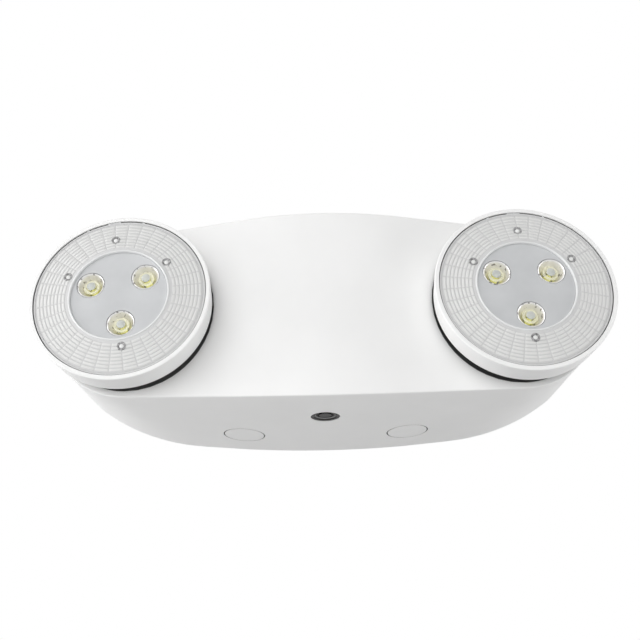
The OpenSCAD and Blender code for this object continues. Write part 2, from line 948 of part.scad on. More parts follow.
module clip_groove_cut() {
    difference() {
        cylinder(r = spigot_r + cut_over, h = clip_t, $fn = round_fn);
        translate([0, 0, -cut_over])
            cylinder(r = spigot_r - clip_groove, h = clip_t + 2 * cut_over, $fn = round_fn);
    }
}

module friction_washer(side) {
    color(steel)
    at_socket(side)
    translate([0, 0, -seat_depth - seat_floor - washer_t])
        difference() {
            cylinder(r = washer_r, h = washer_t, $fn = round_fn);
            translate([0, 0, -cut_over])
                cylinder(r = spigot_r + snug_fit, h = washer_t + 2 * cut_over, $fn = round_fn);
        }
}

module swivel_clip(side) {
    mouth = spigot_r - clip_groove;
    color(steel)
    at_swivel(side)
    translate([0, 0, -seat_depth - seat_floor - washer_t - clip_t])
        difference() {
            cylinder(r = clip_r, h = clip_t, $fn = round_fn);
            translate([0, 0, -cut_over])
                cylinder(r = spigot_r - clip_groove, h = clip_t + 2 * cut_over, $fn = round_fn);
            translate([0, -mouth / 2, -cut_over]) cube([2 * clip_r, mouth, clip_t + 2 * cut_over]);
        }
}

// Half the width of the hinge over both ears.
function ears_half() = tongue_t / 2 + free_gap / 2 + ear_t;

module tilt_screw(side) {
    color(steel)
    at_head(side)
    rotate([90, 0, 0]) {
        translate([0, 0, -ears_half() - nut_t])
            cylinder(r = hinge_screw_r, h = 2 * ears_half() + nut_t, $fn = small_fn);
        translate([0, 0, ears_half()])
            cylinder(r = screw_head_r, h = screw_head_t, $fn = small_fn);
    }
}

module tilt_nut(side) {
    color(steel)
    at_head(side)
    rotate([90, 0, 0])
    translate([0, 0, -ears_half() - nut_t])
        difference() {
            cylinder(d = nut_af / cos(30), h = nut_t, $fn = 6);
            translate([0, 0, -cut_over])
                cylinder(r = hinge_screw_r, h = nut_t + 2 * cut_over, $fn = small_fn);
        }
}

// Drum of a head: back wall, side wall, bezel and the two hinge ears.
module head_shell(side) {
    inner_r = head_back_r - head_wall;
    front = head_rim + bezel_lip;
    shy = bezel_round * (1 - sin(45));
    color(shell_white)
    at_head(side)
    difference() {
        union() {
            rotate_extrude($fn = round_fn)
                polygon([
                    [0, head_rear],
                    [head_back_r - back_edge, head_rear],
                    [head_back_r, head_rear + back_edge],
                    [head_r, front - bezel_round],
                    [head_r - shy, front - shy],
                    [head_r - bezel_round, front],
                    [lens_r + snug_fit, front], [lens_r + snug_fit, lens_floor],
                    [lens_r - lens_seat_w, lens_floor], [lens_r - lens_seat_w, lens_floor - lens_seat_w],
                    [inner_r, lens_floor - 2 * lens_seat_w], [inner_r, head_rear + head_back_t],
                    [0, head_rear + head_back_t]
                ]);
            for (s = [LEFT, RIGHT]) hinge_ear(s);
            for (t = [0, 120, 240])
                rotate([0, 0, t])
                    translate([led_board_r - 2 * board_stub_r, 0, head_rear + head_back_t - cut_over])
                        cylinder(r = board_stub_r, h = led_board_up + cut_over, $fn = small_fn);
        }
        rotate([90, 0, 0])
            translate([0, 0, -2 * ears_half()])
                cylinder(r = hinge_screw_r, h = 4 * ears_half(), $fn = small_fn);
        for (x = [LEFT, RIGHT])
            translate([x * wire_hole_x, 0, head_rear - cut_over])
                cylinder(r = wire_hole_r, h = head_back_t + 2 * cut_over, $fn = small_fn);
    }
}

module hinge_ear(s) {
    near = tongue_t / 2 + free_gap / 2;
    y = s > 0 ? near : -near - ear_t;
    translate([0, y + ear_t, 0]) rotate([90, 0, 0]) cylinder(r = ear_r, h = ear_t, $fn = small_fn);
    translate([-ear_r, y, 0]) cube([2 * ear_r, ear_t, head_rear + head_back_t / 2]);
}

// Bright ring behind the lens, with a pin for each lens boss.
module reflector(side) {
    foot = head_rear + head_back_t;
    floor_z = foot + reflector_foot;
    inner = led_board_r + free_gap;
    top = floor_z + reflector_rise;
    slope_in = reflector_t * tan(22.5);
    color([0.9, 0.9, 0.9])
    at_optics(side)
    union() {
        rotate_extrude($fn = round_fn)
            polygon([
                [inner, foot],
                [inner + reflector_t, foot],
                [inner + reflector_t, floor_z],
                [reflector_r - reflector_rise, floor_z],
                [reflector_r - reflector_t, top],
                [reflector_r, top],
                [reflector_r, top + reflector_t],
                [reflector_r - 2 * reflector_t, top + reflector_t],
                [reflector_r - reflector_rise - slope_in, floor_z + reflector_t],
                [inner, floor_z + reflector_t]
            ]);
        at_bosses()
            translate([0, 0, floor_z])
                cylinder(r = boss_pin_r, h = head_rim - floor_z, $fn = small_fn);
    }
}

module led_board(side) {
    color(satin_grey)
    at_optics(side)
    translate([0, 0, led_floor])
        cylinder(r = led_board_r, h = led_board_t, $fn = round_fn);
}

module leds(side) {
    color([0.9, 0.82, 0.25])
    at_optics(side)
    at_emitters()
    translate([-led_side / 2, -led_side / 2, led_top]) cube([led_side, led_side, led_h]);
}

// Moulded cone optics, each with a well over its emitter and a dish in its face.
module optics(side) {
    top = plate_top;
    color(clear_tint)
    at_optics(side)
    at_emitters()
    rotate_extrude($fn = small_fn)
        polygon([
            [optic_well_r + free_gap, led_top], [optic_base_r + free_gap, led_top],
            [optic_r - free_gap / 2, top - optic_flange], [optic_r, top - optic_flange], [optic_r, top],
            [optic_dish_r, top], [optic_dish_r - free_gap, top - optic_dish],
            [0, top - optic_dish], [0, led_top + optic_well], [optic_well_r, led_top + optic_well]
        ]);
}

// Flat plate in the middle of the head, on three legs, with a hole for each optic.
module led_plate(side) {
    color(satin_grey)
    at_optics(side)
    difference() {
        union() {
            translate([0, 0, plate_top - led_plate_t])
                cylinder(r = plate_r, h = led_plate_t, $fn = round_fn);
            for (t = [-30, 90, 210])
                rotate([0, 0, t])
                    translate([plate_r * leg_ring_share, 0, led_top])
                        cylinder(r = plate_leg_r, h = plate_top - led_top - led_plate_t / 2,
                            $fn = small_fn);
        }
        at_emitters()
            translate([0, 0, plate_top - led_plate_t - cut_over])
                cylinder(r = optic_r + snug_fit, h = led_plate_t + 2 * cut_over, $fn = small_fn);
    }
}

// Clear ring lens: an edge that sits in the drum, a crowned band, an inner ring and four bosses.
module lens(side) {
    ring_in = plate_r + snug_fit;
    skirt_out = ring_in + lens_skirt_t;
    foot_in = lens_r - lens_foot_w;
    top = head_rim + lens_crown;
    slope = lens_crown / (lens_r - ring_in - lens_skirt_t / 2);
    color(clear_tint)
    at_optics(side)
    difference() {
        union() {
            rotate_extrude($fn = round_fn)
                polygon([
                    [ring_in, top - lens_skirt],
                    [skirt_out, top - lens_skirt],
                    [skirt_out, top - lens_t],
                    [foot_in, head_rim - lens_t + slope * lens_foot_w],
                    [foot_in, lens_floor],
                    [lens_r, lens_floor],
                    [lens_r, head_rim],
                    [skirt_out, top - slope * lens_skirt_t],
                    [skirt_out - lens_skirt_t / 2, top],
                    [ring_in, top]
                ]);
            at_bosses()
                translate([0, 0, lens_floor - boss_drop])
                    cylinder(r = boss_r, h = lens_edge_t + boss_drop, $fn = small_fn);
        }
        at_bosses()
            translate([0, 0, lens_floor - boss_drop - cut_over])
                cylinder(r = boss_pin_r + run_fit,
                    h = boss_drop + lens_edge_t + lens_crown + 2 * cut_over, $fn = small_fn);
    }
}

housing();
back_plate();
indicator_window();
test_button();
switch_plunger();
test_switch();
indicator_leds();
circuit_board();
board_screws();
transformer_core();
transformer_coil();
capacitors();
relay();
mains_terminal();
lead_sockets();
battery_cells();
battery_sleeve();
battery_straps();
strap_screws();
battery_lead();
lamp_lead(LEFT);  // left_lamp_lead
swivel_base(LEFT);  // left_swivel_base
friction_washer(LEFT);  // left_friction_washer
swivel_clip(LEFT);  // left_swivel_clip
tilt_screw(LEFT);  // left_tilt_screw
tilt_nut(LEFT);  // left_tilt_nut
head_shell(LEFT);  // left_head_shell
reflector(LEFT);  // left_reflector
led_board(LEFT);  // left_led_board
leds(LEFT);  // left_leds
optics(LEFT);  // left_optics
led_plate(LEFT);  // left_led_plate
lens(LEFT);  // left_lens
lamp_lead(RIGHT);  // right_lamp_lead
swivel_base(RIGHT);  // right_swivel_base
friction_washer(RIGHT);  // right_friction_washer
swivel_clip(RIGHT);  // right_swivel_clip
tilt_screw(RIGHT);  // right_tilt_screw
tilt_nut(RIGHT);  // right_tilt_nut
head_shell(RIGHT);  // right_head_shell
reflector(RIGHT);  // right_reflector
led_board(RIGHT);  // right_led_board
leds(RIGHT);  // right_leds
optics(RIGHT);  // right_optics
led_plate(RIGHT);  // right_led_plate
lens(RIGHT);  // right_lens
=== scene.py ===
"""Wall emergency light with two round lamp heads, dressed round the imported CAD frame."""
import json
import math

import bmesh
import bpy
from mathutils import Matrix, Vector


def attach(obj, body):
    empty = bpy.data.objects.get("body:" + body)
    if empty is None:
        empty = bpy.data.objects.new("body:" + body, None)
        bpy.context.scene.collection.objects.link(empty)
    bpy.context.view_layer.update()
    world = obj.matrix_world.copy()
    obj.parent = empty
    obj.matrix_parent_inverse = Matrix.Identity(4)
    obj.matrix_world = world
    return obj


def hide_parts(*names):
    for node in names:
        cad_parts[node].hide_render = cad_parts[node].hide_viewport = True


MM = 0.001
SIDES = {"left": -1, "right": 1}
WHITE = (1, 1, 1)

# Camera, fitted to the outlines in the photograph
CAMERA_AIM = Vector((-1.78, -40.0, 12.4)) * MM
CAMERA_DISTANCE = 548.4 * MM
CAMERA_RISE = math.radians(23.73)
CAMERA_TURN = math.radians(0.23)
CAMERA_ROLL = math.radians(-1.19)
CAMERA_LENS = 56.25
CAMERA_SENSOR = 36
CAMERA_NEAR = 0.01

# Studio: place and width of each lamp in metres, its power in watts, and the floor in metres
LAMPS = {
    "key": ((-1.4, -1.45, 0.9), 2.4, 24),
    "fill": ((0.0, -1.9, 0.0), 1.4, 9),
    "low_left": ((-1.5, -0.2, -0.05), 0.8, 9),
    "low_right": ((1.5, -0.2, -0.05), 0.8, 7),
}
SOFT_LIGHT = 0.285
FLOOR_HALF = 3.0
FLOOR_Z = -0.42

# Housing, in millimetres
HALF_W = 137.5
HALF_H = 49.75
BODY_D = 92.5
FLANK_R = 628.0
FRONT_R = 268.0
WALL = 2.5
FLANK_ANGLE = math.radians(6.6)
SHOULDER_ANGLE = math.radians(37.0)
PAN = math.radians(8.5)
BOW_X = FRONT_R * math.sin(PAN)
SEAT_X = 95.5
SEAT_Y = BODY_D - FRONT_R + FRONT_R * math.cos(PAN) - (SEAT_X - BOW_X) * math.tan(PAN)
SEAT_R = 41.3
RIM_R = 44.5
SEAT_DEPTH = 16.0
SEAT_FLOOR = 3.0
SEAT_MARGIN = 0.3
CUP_R = 43.3
SOCKET_SHIFT = 2.4
SPIGOT_HOLE_R = 9.05
WINDOW_Y = 59.5
WINDOW_HOLE_R = 7.45
LEDGE_R = 5.1
LEDGE_DEPTH = 1.0
LEDGE_STEP = 0.25
KNOCKOUT_X = 43.6
KNOCKOUT_Y = 27.2
KNOCKOUT_R = 11.1
GROOVE_W = 0.6
GROOVE_DEPTH = 1.4
POST_X = 39.0
POST_ZS = (-29.25, 28.25)
POST_R = 3.4
BOARD_FACE_Y = 70.1

# How far a cutting tool runs past the face it cuts, in millimetres, and the places after the
# point to which corners have to agree to be one corner
PAST = 1.0
CORNER_PLACES = 3

# Rounding of the housing's edges, in millimetres, and the steps of its mesh
EDGE = 0.9
LIP = 0.4
ROUND_STEPS = 4
LIP_STEPS = 2
SEAT_ROWS = 4
SIDE_ROWS = 8
BOW_STEPS = 14
LINE_STEPS = 8
END_STEPS = 40
MIDDLE_ROWS = 10

# Sides of a turned solid, from the finest to the coarsest
RING_SIDES = 144
HOUSING_SIDES = 96
OPTIC_SIDES = 64
DOME_SIDES = 48
BOSS_SIDES = 40
PIN_SIDES = 32

# Angles, in degrees, past which an edge between faces stays sharp
SHARP_HOUSING = 32
SHARP_LENS = 24
SHARP_FLAT = 30
SHARP_SMALL = 40

# Lamp heads: turns in degrees, and millimetres along each head's own axis from its hinge
TILT_SET = 6.7
SWIVEL_SET = 30.7
OPTIC_TURN = {"left": 7.3, "right": 1.7}
EMITTER_TURNS = (-90, 30, 150)
AXIS_R = 0.05
RIM_Z = 20.9
LED_TOP = 14.3
LED_RING_R = 15.65

# Ring lens: ribs in rows and sectors, with the shares of a cell at which its top has points;
# from the flat share on it has its full height
LENS_R = 42.6
LENS_EDGE = 0.35
LENS_CHAMFER = 0.6
LENS_FLOOR = 18.7
LENS_FOOT_W = 3.0
LENS_T = 1.6
LENS_CROWN = 1.9
CROWN_SHARE = 0.98
CROWN_POWER = 1.2
PLATE_R = 23.9
LENS_IN_R = PLATE_R + 1.1
CELL_SINK = 0.3
RIB_IN = 26.4
RIB_START_GAP = 0.1
RIB_PITCH = 1.8
RIB_ROWS = 8
RIB_OUT = RIB_IN + RIB_ROWS * RIB_PITCH
RIB_HEIGHT = 0.24
SECTORS = 36
ROW_FLAT = 0.3
ROW_SHARES = (0.0, 0.12, ROW_FLAT, 0.7, 0.88)
SECTOR_FLAT = 0.09
SECTOR_SHARES = (0.0, 0.03, SECTOR_FLAT, 0.3, 0.5, 0.7, 0.91, 0.97)

# Groove outside the ribs: how far out from them and how deep each of its lines is
LENS_GROOVE = ((0.3, 0.0), (0.5, 0.25), (0.7, 0.0))

# Tabs at the edge of the lens: middle and width of each, in degrees
LENS_TABS = ((70, 1.6), (90.5, 9), (109, 1.6))
TAB_STEPS = 8
TAB_IN_R = LENS_R - LENS_EDGE
TAB_OUT_R = LENS_R - 0.05
TAB_TOP = RIM_Z - 0.1

# Bosses of the lens and the pins in them: radius and height of each corner from the top, half
# the height of the tool that bores the lens for them, and radius and turn of each boss
BOSS_R = 2.3
BOSS_HOLE_R = 1.15
BOSS_FIT = 0.1
BOSS_FOOT = 16.7
BOSS_RISE = 0.1
BOSS_TOOL = 3.0
BOSS_TOP = (
    (BOSS_R, -0.25), (BOSS_R - 0.25, 0.0), (BOSS_R - 0.6, 0.0), (BOSS_R - 0.75, -0.3),
    (BOSS_HOLE_R, -0.4))
PIN_R = 1.1
PIN_SINK = 0.15
PIN_TOP = ((PIN_R, -0.2), (PIN_R - 0.25, 0.0), (AXIS_R, 0.05))
BOSS_SPOTS = tuple((28.2, turn) for turn in EMITTER_TURNS) + ((31.4, 90),)

# Ring, plate, domes and wells: radius and height of each corner from the level named beside it
RING_TOP = RIM_Z + LENS_CROWN
RING_IN_R = PLATE_R + 0.05
RING_PROFILE = (
    (RING_IN_R, -4.5), (LENS_IN_R, -4.5), (LENS_IN_R, -0.45), (LENS_IN_R - 0.12, -0.15),
    (LENS_IN_R - 0.35, -0.02), (RING_IN_R + 0.4, -0.02), (RING_IN_R + 0.2, -0.15),
    (RING_IN_R, -0.8))
PLATE_TOP = 21.5
PLATE_PROFILE = (
    (AXIS_R, -0.9), (PLATE_R, -0.9), (PLATE_R, -0.15), (PLATE_R - 0.15, 0.0), (AXIS_R, 0.0))
DOME_TOP = PLATE_TOP - 0.9
DOME_PROFILE = (
    (2.1, -0.5), (2.2, -0.15), (2.05, 0.0), (1.6, 0.15), (0.8, 0.26), (AXIS_R, 0.3),
    (AXIS_R, -0.2), (1.6, -0.3))
WELL_TOP = PLATE_TOP - 2.0
WELL_PROFILE = ((2.5, -0.4), (3.7, -0.7), (3.95, -0.4), (3.8, -0.05), (2.8, 0.0), (2.5, -0.15))

# Bowl of an optic and the rim round it, as radius and height from the top of the plate, with
# half the height of the tool that bores the plate
OPTIC_R = 7.0
OPTIC_TOOL = 2.0
OPTIC_RIM = (
    (OPTIC_R - 0.72, -0.12), (OPTIC_R - 0.5, 0.0), (OPTIC_R - 0.32, -0.1),
    (OPTIC_R - 0.22, -0.3), (OPTIC_R - 0.22, -1.1))
CONE_FOOT_R = 2.5
CONE_RIM_R = OPTIC_R - 0.9
CONE_FOOT = LED_TOP - 0.6
CONE_RIM = PLATE_TOP - 0.4
CONE_POWER = 0.75
CONE_STEPS = 8
CONE_WALL = 0.5
CONE_DROP = 0.1

# Moulded, plated and painted surfaces: the colours it drifts between and how rough it is
SURFACES = {
    "shell_white": dict(dark=(0.85, 0.85, 0.845), light=(0.88, 0.88, 0.875), rough=0.42, bump=0.12),
    # Dark grey painted shade for the walls of the round recesses
    "seat_painted_shade": dict(dark=(0.1, 0.1, 0.1), light=(0.13, 0.13, 0.13), rough=0.6),
    "plate_white": dict(dark=(0.74, 0.74, 0.73), light=(0.79, 0.79, 0.78), rough=0.5),
    "smoke": dict(
        dark=(0.004, 0.004, 0.004), light=(0.014, 0.013, 0.013), rough=0.16, grain=500, bump=0.03),
    "smoke_edge": dict(dark=(0.12, 0.12, 0.12), light=(0.3, 0.3, 0.3), rough=0.2, grain=700),
    "lens_boss": dict(
        dark=(0.1, 0.1, 0.1), light=(0.5, 0.5, 0.5), rough=0.25, grain=900, patch=1000, bump=0.03),
    "bright_reflector": dict(
        dark=(0.72, 0.73, 0.74), light=(0.86, 0.87, 0.88), rough=0.3, metallic=0.55),
    "pin_white": dict(dark=(0.78, 0.78, 0.77), light=(0.88, 0.88, 0.88), rough=0.25, grain=900),
    "satin_plate": dict(
        dark=(0.52, 0.53, 0.54), light=(0.58, 0.59, 0.6), rough=0.45, grain=2500, patch=60),
    "led_yellow": dict(dark=(0.92, 0.88, 0.2), light=(0.98, 0.96, 0.4), rough=0.4, grain=3000),
    "led_red": dict(dark=(0.3, 0.05, 0.04), light=(0.4, 0.08, 0.06), rough=0.3, grain=2000),
    "board_green": dict(dark=(0.015, 0.1, 0.04), light=(0.02, 0.14, 0.06), rough=0.35, grain=2500),
    "core_steel": dict(dark=(0.05, 0.05, 0.055), light=(0.09, 0.09, 0.1), rough=0.5, metallic=0.4),
    "coil_tape": dict(dark=(0.5, 0.33, 0.06), light=(0.6, 0.42, 0.1), rough=0.45),
    "can_dark": dict(dark=(0.015, 0.02, 0.04), light=(0.03, 0.035, 0.06), rough=0.3),
    "relay_blue": dict(dark=(0.02, 0.06, 0.2), light=(0.03, 0.09, 0.26), rough=0.4),
    "terminal_green": dict(dark=(0.03, 0.16, 0.06), light=(0.05, 0.22, 0.09), rough=0.45),
    "switch_black": dict(dark=(0.01, 0.01, 0.011), light=(0.025, 0.025, 0.027), rough=0.45),
    "socket_ivory": dict(dark=(0.62, 0.59, 0.48), light=(0.7, 0.67, 0.56), rough=0.45),
    "cell_can": dict(dark=(0.35, 0.36, 0.37), light=(0.5, 0.51, 0.52), rough=0.3, metallic=0.8),
    "sleeve_blue": dict(dark=(0.02, 0.1, 0.28), light=(0.03, 0.14, 0.36), rough=0.25),
    "bright_steel": dict(dark=(0.5, 0.51, 0.52), light=(0.66, 0.67, 0.68), rough=0.3, metallic=0.9),
    "lead_white": dict(dark=(0.66, 0.65, 0.6), light=(0.74, 0.73, 0.69), rough=0.5),
}
FLOOR_LOOK = dict(
    dark=(0.86, 0.86, 0.86), light=(0.9, 0.9, 0.9), rough=0.7, grain=40, patch=3, bump=0.02)
DRIFT_RANGE = (0.3, 0.7)
GLOSS_SPREAD = 0.06
GRAIN_DEPTH = 0.00004

# Clear plastics: colour, roughness and how much of the light they hold back
CLEARS = {
    "clear_lens": dict(colour=(0.7, 0.7, 0.7), rough=0.2, alpha=0.85),
    "lens_ring": dict(colour=(0.84, 0.85, 0.85), rough=0.16, alpha=0.9),
    "optic_dome": dict(colour=(0.64, 0.67, 0.67), rough=0.08, alpha=0.6),
    # The wells' pale yellow is a painted reflection of the yellow emitter
    "optic_well": dict(colour=(0.95, 0.94, 0.74), rough=0.15, alpha=0.5),
}
CLEAR_IOR = 1.49
CLEAR_GRAIN = 900
CLEAR_BUMP = 0.05
CLEAR_GRAIN_DEPTH = 0.00003
CLEAR_SPREAD = 0.05

# Painted shade in narrow gaps: how open a corner is where the painted shade is darkest and where it no longer
# darkens
CORNER_DARK = 0.2
CORNER_OPEN = 0.43
PAINTED_SHADE_TONE = (0.01, 0.01, 0.01)
CORNER_REACH = 0.02
CORNER_SAMPLES = 24

# Bowls of the optics: a painted pale yellow reflection of the emitter low down, their own bright silver above it,
# and small painted dark reflections
YELLOW_REFLECTION = (0.97, 0.95, 0.76)
BOWL_SILVER = (0.93, 0.92, 0.91)
YELLOW_REFLECTION_RISE = 4
BOWL_ROUGH = 0.25
BOWL_SPREAD = 0.1
BOWL_METALLIC = 0.6
DARK_REFLECTION_PATCH = 480
DARK_REFLECTION_RANGE = (0.33, 0.41)
DARK_REFLECTION_TONE = (0.3, 0.29, 0.29)

# Ribbed lens: greys of its smooth band, its cells and the lines between them, and the painted shadow at its edge
LENS_PLAIN = (0.72, 0.72, 0.72)
LENS_CELL = (0.81, 0.81, 0.8)
LENS_LINE = (0.66, 0.66, 0.66)
LENS_EDGE_SHADOW = (0.3, 0.3, 0.3)
ROW_LINE_WIDTH = 0.3
SECTOR_LINE_WIDTH = 0.08
LENS_ALPHA = 0.85
LENS_GLOSS = 0.35
LENS_ROUGH = 0.3
LENS_SPREAD = 0.08

# Sockets of a colour mix node
MIX_SHARE = 0
MIX_LOW = 6
MIX_HIGH = 7
MIX_RESULT = 2


def mesh_piece(name, points, faces, material, smooth=True):
    """A mesh object in metres from points in metres."""
    mesh = bpy.data.meshes.new(name)
    mesh.from_pydata(points, [], faces)
    mesh.materials.append(material)
    for face in mesh.polygons:
        face.use_smooth = smooth
    mesh.update()
    piece = bpy.data.objects.new(name, mesh)
    bpy.context.scene.collection.objects.link(piece)
    return piece


def joint(name):
    return next(j for j in frame["joints"] if j["name"] == name)


def head_frame(side):
    """Upright frame of a head: +Z out of the lens, the origin on the hinge, in metres."""
    seat = Vector(joint(side + "_swivel_turn")["axis"]).normalized()
    tilt = joint(side + "_head_tilt")
    pin = Vector(tilt["axis"]).normalized()
    lean = Matrix.Rotation(math.radians(-SIDES[side] * TILT_SET), 3, pin)
    out = lean @ seat
    across = pin.cross(out).normalized()
    turn = math.radians(SIDES[side] * SWIVEL_SET)
    x_axis = across * math.cos(turn) + pin * math.sin(turn)
    y_axis = out.cross(x_axis)
    upright = Matrix((x_axis, y_axis, out)).transposed().to_4x4()
    return Matrix.Translation(Vector(tilt["pos_m"])) @ upright


# Nodes
def new_material(name):
    material = bpy.data.materials.new(name)
    material.use_nodes = True
    tree = material.node_tree
    shader = tree.nodes["Principled BSDF"]
    return material, tree, shader


def add_node(tree, kind, **values):
    node = tree.nodes.new(kind)
    for key, value in values.items():
        if key in node.inputs:
            node.inputs[key].default_value = value
        else:
            setattr(node, key, value)
    return node


def feed(tree, socket, value):
    """Links a socket to another node's output, or sets a number or a colour on it."""
    if isinstance(value, bpy.types.NodeSocket):
        tree.links.new(value, socket)
    elif isinstance(value, tuple):
        socket.default_value = (*value, 1)
    else:
        socket.default_value = value


def math_node(tree, operation, value, other=None):
    node = add_node(tree, "ShaderNodeMath", operation=operation)
    feed(tree, node.inputs[0], value)
    if other is not None:
        feed(tree, node.inputs[1], other)
    return node.outputs[0]


def mixed(tree, share, low, high, blend="MIX"):
    """A colour part of the way from low to high, each a colour or an output."""
    mix = add_node(tree, "ShaderNodeMix", data_type="RGBA", blend_type=blend)
    feed(tree, mix.inputs[MIX_SHARE], share)
    feed(tree, mix.inputs[MIX_LOW], low)
    feed(tree, mix.inputs[MIX_HIGH], high)
    return mix.outputs[MIX_RESULT]


def ramped(tree, value, span, low, high):
    """Colour that runs from low to high over the span of a value."""
    ramp = add_node(tree, "ShaderNodeValToRGB")
    for stop, position, colour in zip(ramp.color_ramp.elements, span, (low, high)):
        stop.position = position
        stop.color = (*colour, 1)
    tree.links.new(value, ramp.inputs["Fac"])
    return ramp.outputs["Color"]


def own_coordinates(tree):
    return add_node(tree, "ShaderNodeTexCoord").outputs["Object"]


def object_noise(tree, scale, detail=3.0, roughness=0.5):
    """Noise on the object's own coordinates, with scale in bumps per metre."""
    noise = add_node(tree, "ShaderNodeTexNoise", Scale=scale, Detail=detail, Roughness=roughness)
    tree.links.new(own_coordinates(tree), noise.inputs["Vector"])
    return noise.outputs["Fac"]


def vary_roughness(tree, shader, noise, low, high):
    span = add_node(tree, "ShaderNodeMapRange")
    span.inputs["To Min"].default_value = low
    span.inputs["To Max"].default_value = high
    tree.links.new(noise, span.inputs["Value"])
    tree.links.new(span.outputs["Result"], shader.inputs["Roughness"])


def add_bump(tree, shader, noise, strength, depth):
    bump = add_node(tree, "ShaderNodeBump", Strength=strength, Distance=depth)
    tree.links.new(noise, bump.inputs["Height"])
    tree.links.new(bump.outputs["Normal"], shader.inputs["Normal"])


# Materials
def surface(name, dark, light, rough, grain=1500, patch=30, bump=0.1, metallic=0.0):
    """A moulded, plated or painted surface: slow colour drift, uneven gloss and fine grain.

    Grain and patch are in bumps per metre.
    """
    material, tree, shader = new_material(name)
    shader.inputs["Metallic"].default_value = metallic
    drift = object_noise(tree, patch, detail=4.0)
    fine = object_noise(tree, grain, detail=4.0, roughness=0.6)
    colour = ramped(tree, drift, DRIFT_RANGE, dark, light)
    tree.links.new(colour, shader.inputs["Base Color"])
    vary_roughness(tree, shader, fine, rough - GLOSS_SPREAD, rough + GLOSS_SPREAD)
    add_bump(tree, shader, fine, bump, GRAIN_DEPTH)
    return material


def paint_corner_shade(material):
    """Paints shade into a surface's colour in its narrow gaps and corners."""
    tree = material.node_tree
    base = tree.nodes["Principled BSDF"].inputs["Base Color"]
    colour = base.links[0].from_socket
    near = add_node(
        tree, "ShaderNodeAmbientOcclusion", Distance=CORNER_REACH, samples=CORNER_SAMPLES)
    shade = ramped(tree, near.outputs["AO"], (CORNER_DARK, CORNER_OPEN), PAINTED_SHADE_TONE, WHITE)
    tree.links.new(mixed(tree, 1.0, colour, shade, "MULTIPLY"), base)


def bowl_with_painted_reflections(name):
    """The bright bowl of an optic: a painted pale yellow reflection of its emitter low down, running up into its
    own silver, with small painted dark reflections.
    """
    material, tree, shader = new_material(name)
    shader.inputs["Metallic"].default_value = BOWL_METALLIC
    parts = add_node(tree, "ShaderNodeSeparateXYZ")
    span = add_node(tree, "ShaderNodeMapRange")
    span.inputs["From Min"].default_value = LED_TOP * MM
    span.inputs["From Max"].default_value = (LED_TOP + YELLOW_REFLECTION_RISE) * MM
    tree.links.new(own_coordinates(tree), parts.inputs[0])
    tree.links.new(parts.outputs["Z"], span.inputs["Value"])
    # Painted pale yellow reflection of the emitter, running into the bowl's own silver higher up
    emitter_reflection = mixed(tree, span.outputs["Result"], YELLOW_REFLECTION, BOWL_SILVER)
    # Small painted dark reflections on the bowl
    patch = object_noise(tree, DARK_REFLECTION_PATCH, detail=2.0)
    dark_reflections = ramped(tree, patch, DARK_REFLECTION_RANGE, DARK_REFLECTION_TONE, WHITE)
    tree.links.new(mixed(tree, 1.0, emitter_reflection, dark_reflections, "MULTIPLY"), shader.inputs["Base Color"])
    vary_roughness(tree, shader, patch, BOWL_ROUGH, BOWL_ROUGH + BOWL_SPREAD)
    return material


def clear(name, colour, rough, alpha):
    """A clear moulded plastic that lets the light through to what is behind it."""
    material, tree, shader = new_material(name)
    shader.inputs["Base Color"].default_value = (*colour, 1)
    shader.inputs["Alpha"].default_value = alpha
    shader.inputs["IOR"].default_value = CLEAR_IOR
    fine = object_noise(tree, CLEAR_GRAIN)
    vary_roughness(tree, shader, fine, rough, rough + CLEAR_SPREAD)
    add_bump(tree, shader, fine, CLEAR_BUMP, CLEAR_GRAIN_DEPTH)
    return material


def near_whole(tree, value, width):
    """1 where a value is a whole number, 0 further from it than the width."""
    share = math_node(tree, "FRACT", value)
    away = math_node(tree, "ABSOLUTE", math_node(tree, "SUBTRACT", share, 0.5))
    span = add_node(tree, "ShaderNodeMapRange", interpolation_type="SMOOTHSTEP")
    span.inputs["From Min"].default_value = 0.5 - width
    span.inputs["From Max"].default_value = 0.5
    tree.links.new(away, span.inputs["Value"])
    return span.outputs["Result"]


def polar(tree):
    """Distance from the head's axis in metres, and the angle round it."""
    flat = add_node(tree, "ShaderNodeVectorMath", operation="MULTIPLY")
    flat.inputs[1].default_value = (1, 1, 0)
    tree.links.new(own_coordinates(tree), flat.inputs[0])
    reach = add_node(tree, "ShaderNodeVectorMath", operation="LENGTH")
    tree.links.new(flat.outputs[0], reach.inputs[0])
    parts = add_node(tree, "ShaderNodeSeparateXYZ")
    tree.links.new(flat.outputs[0], parts.inputs[0])
    angle = math_node(tree, "ARCTAN2", parts.outputs["Y"], parts.outputs["X"])
    return reach.outputs["Value"], angle


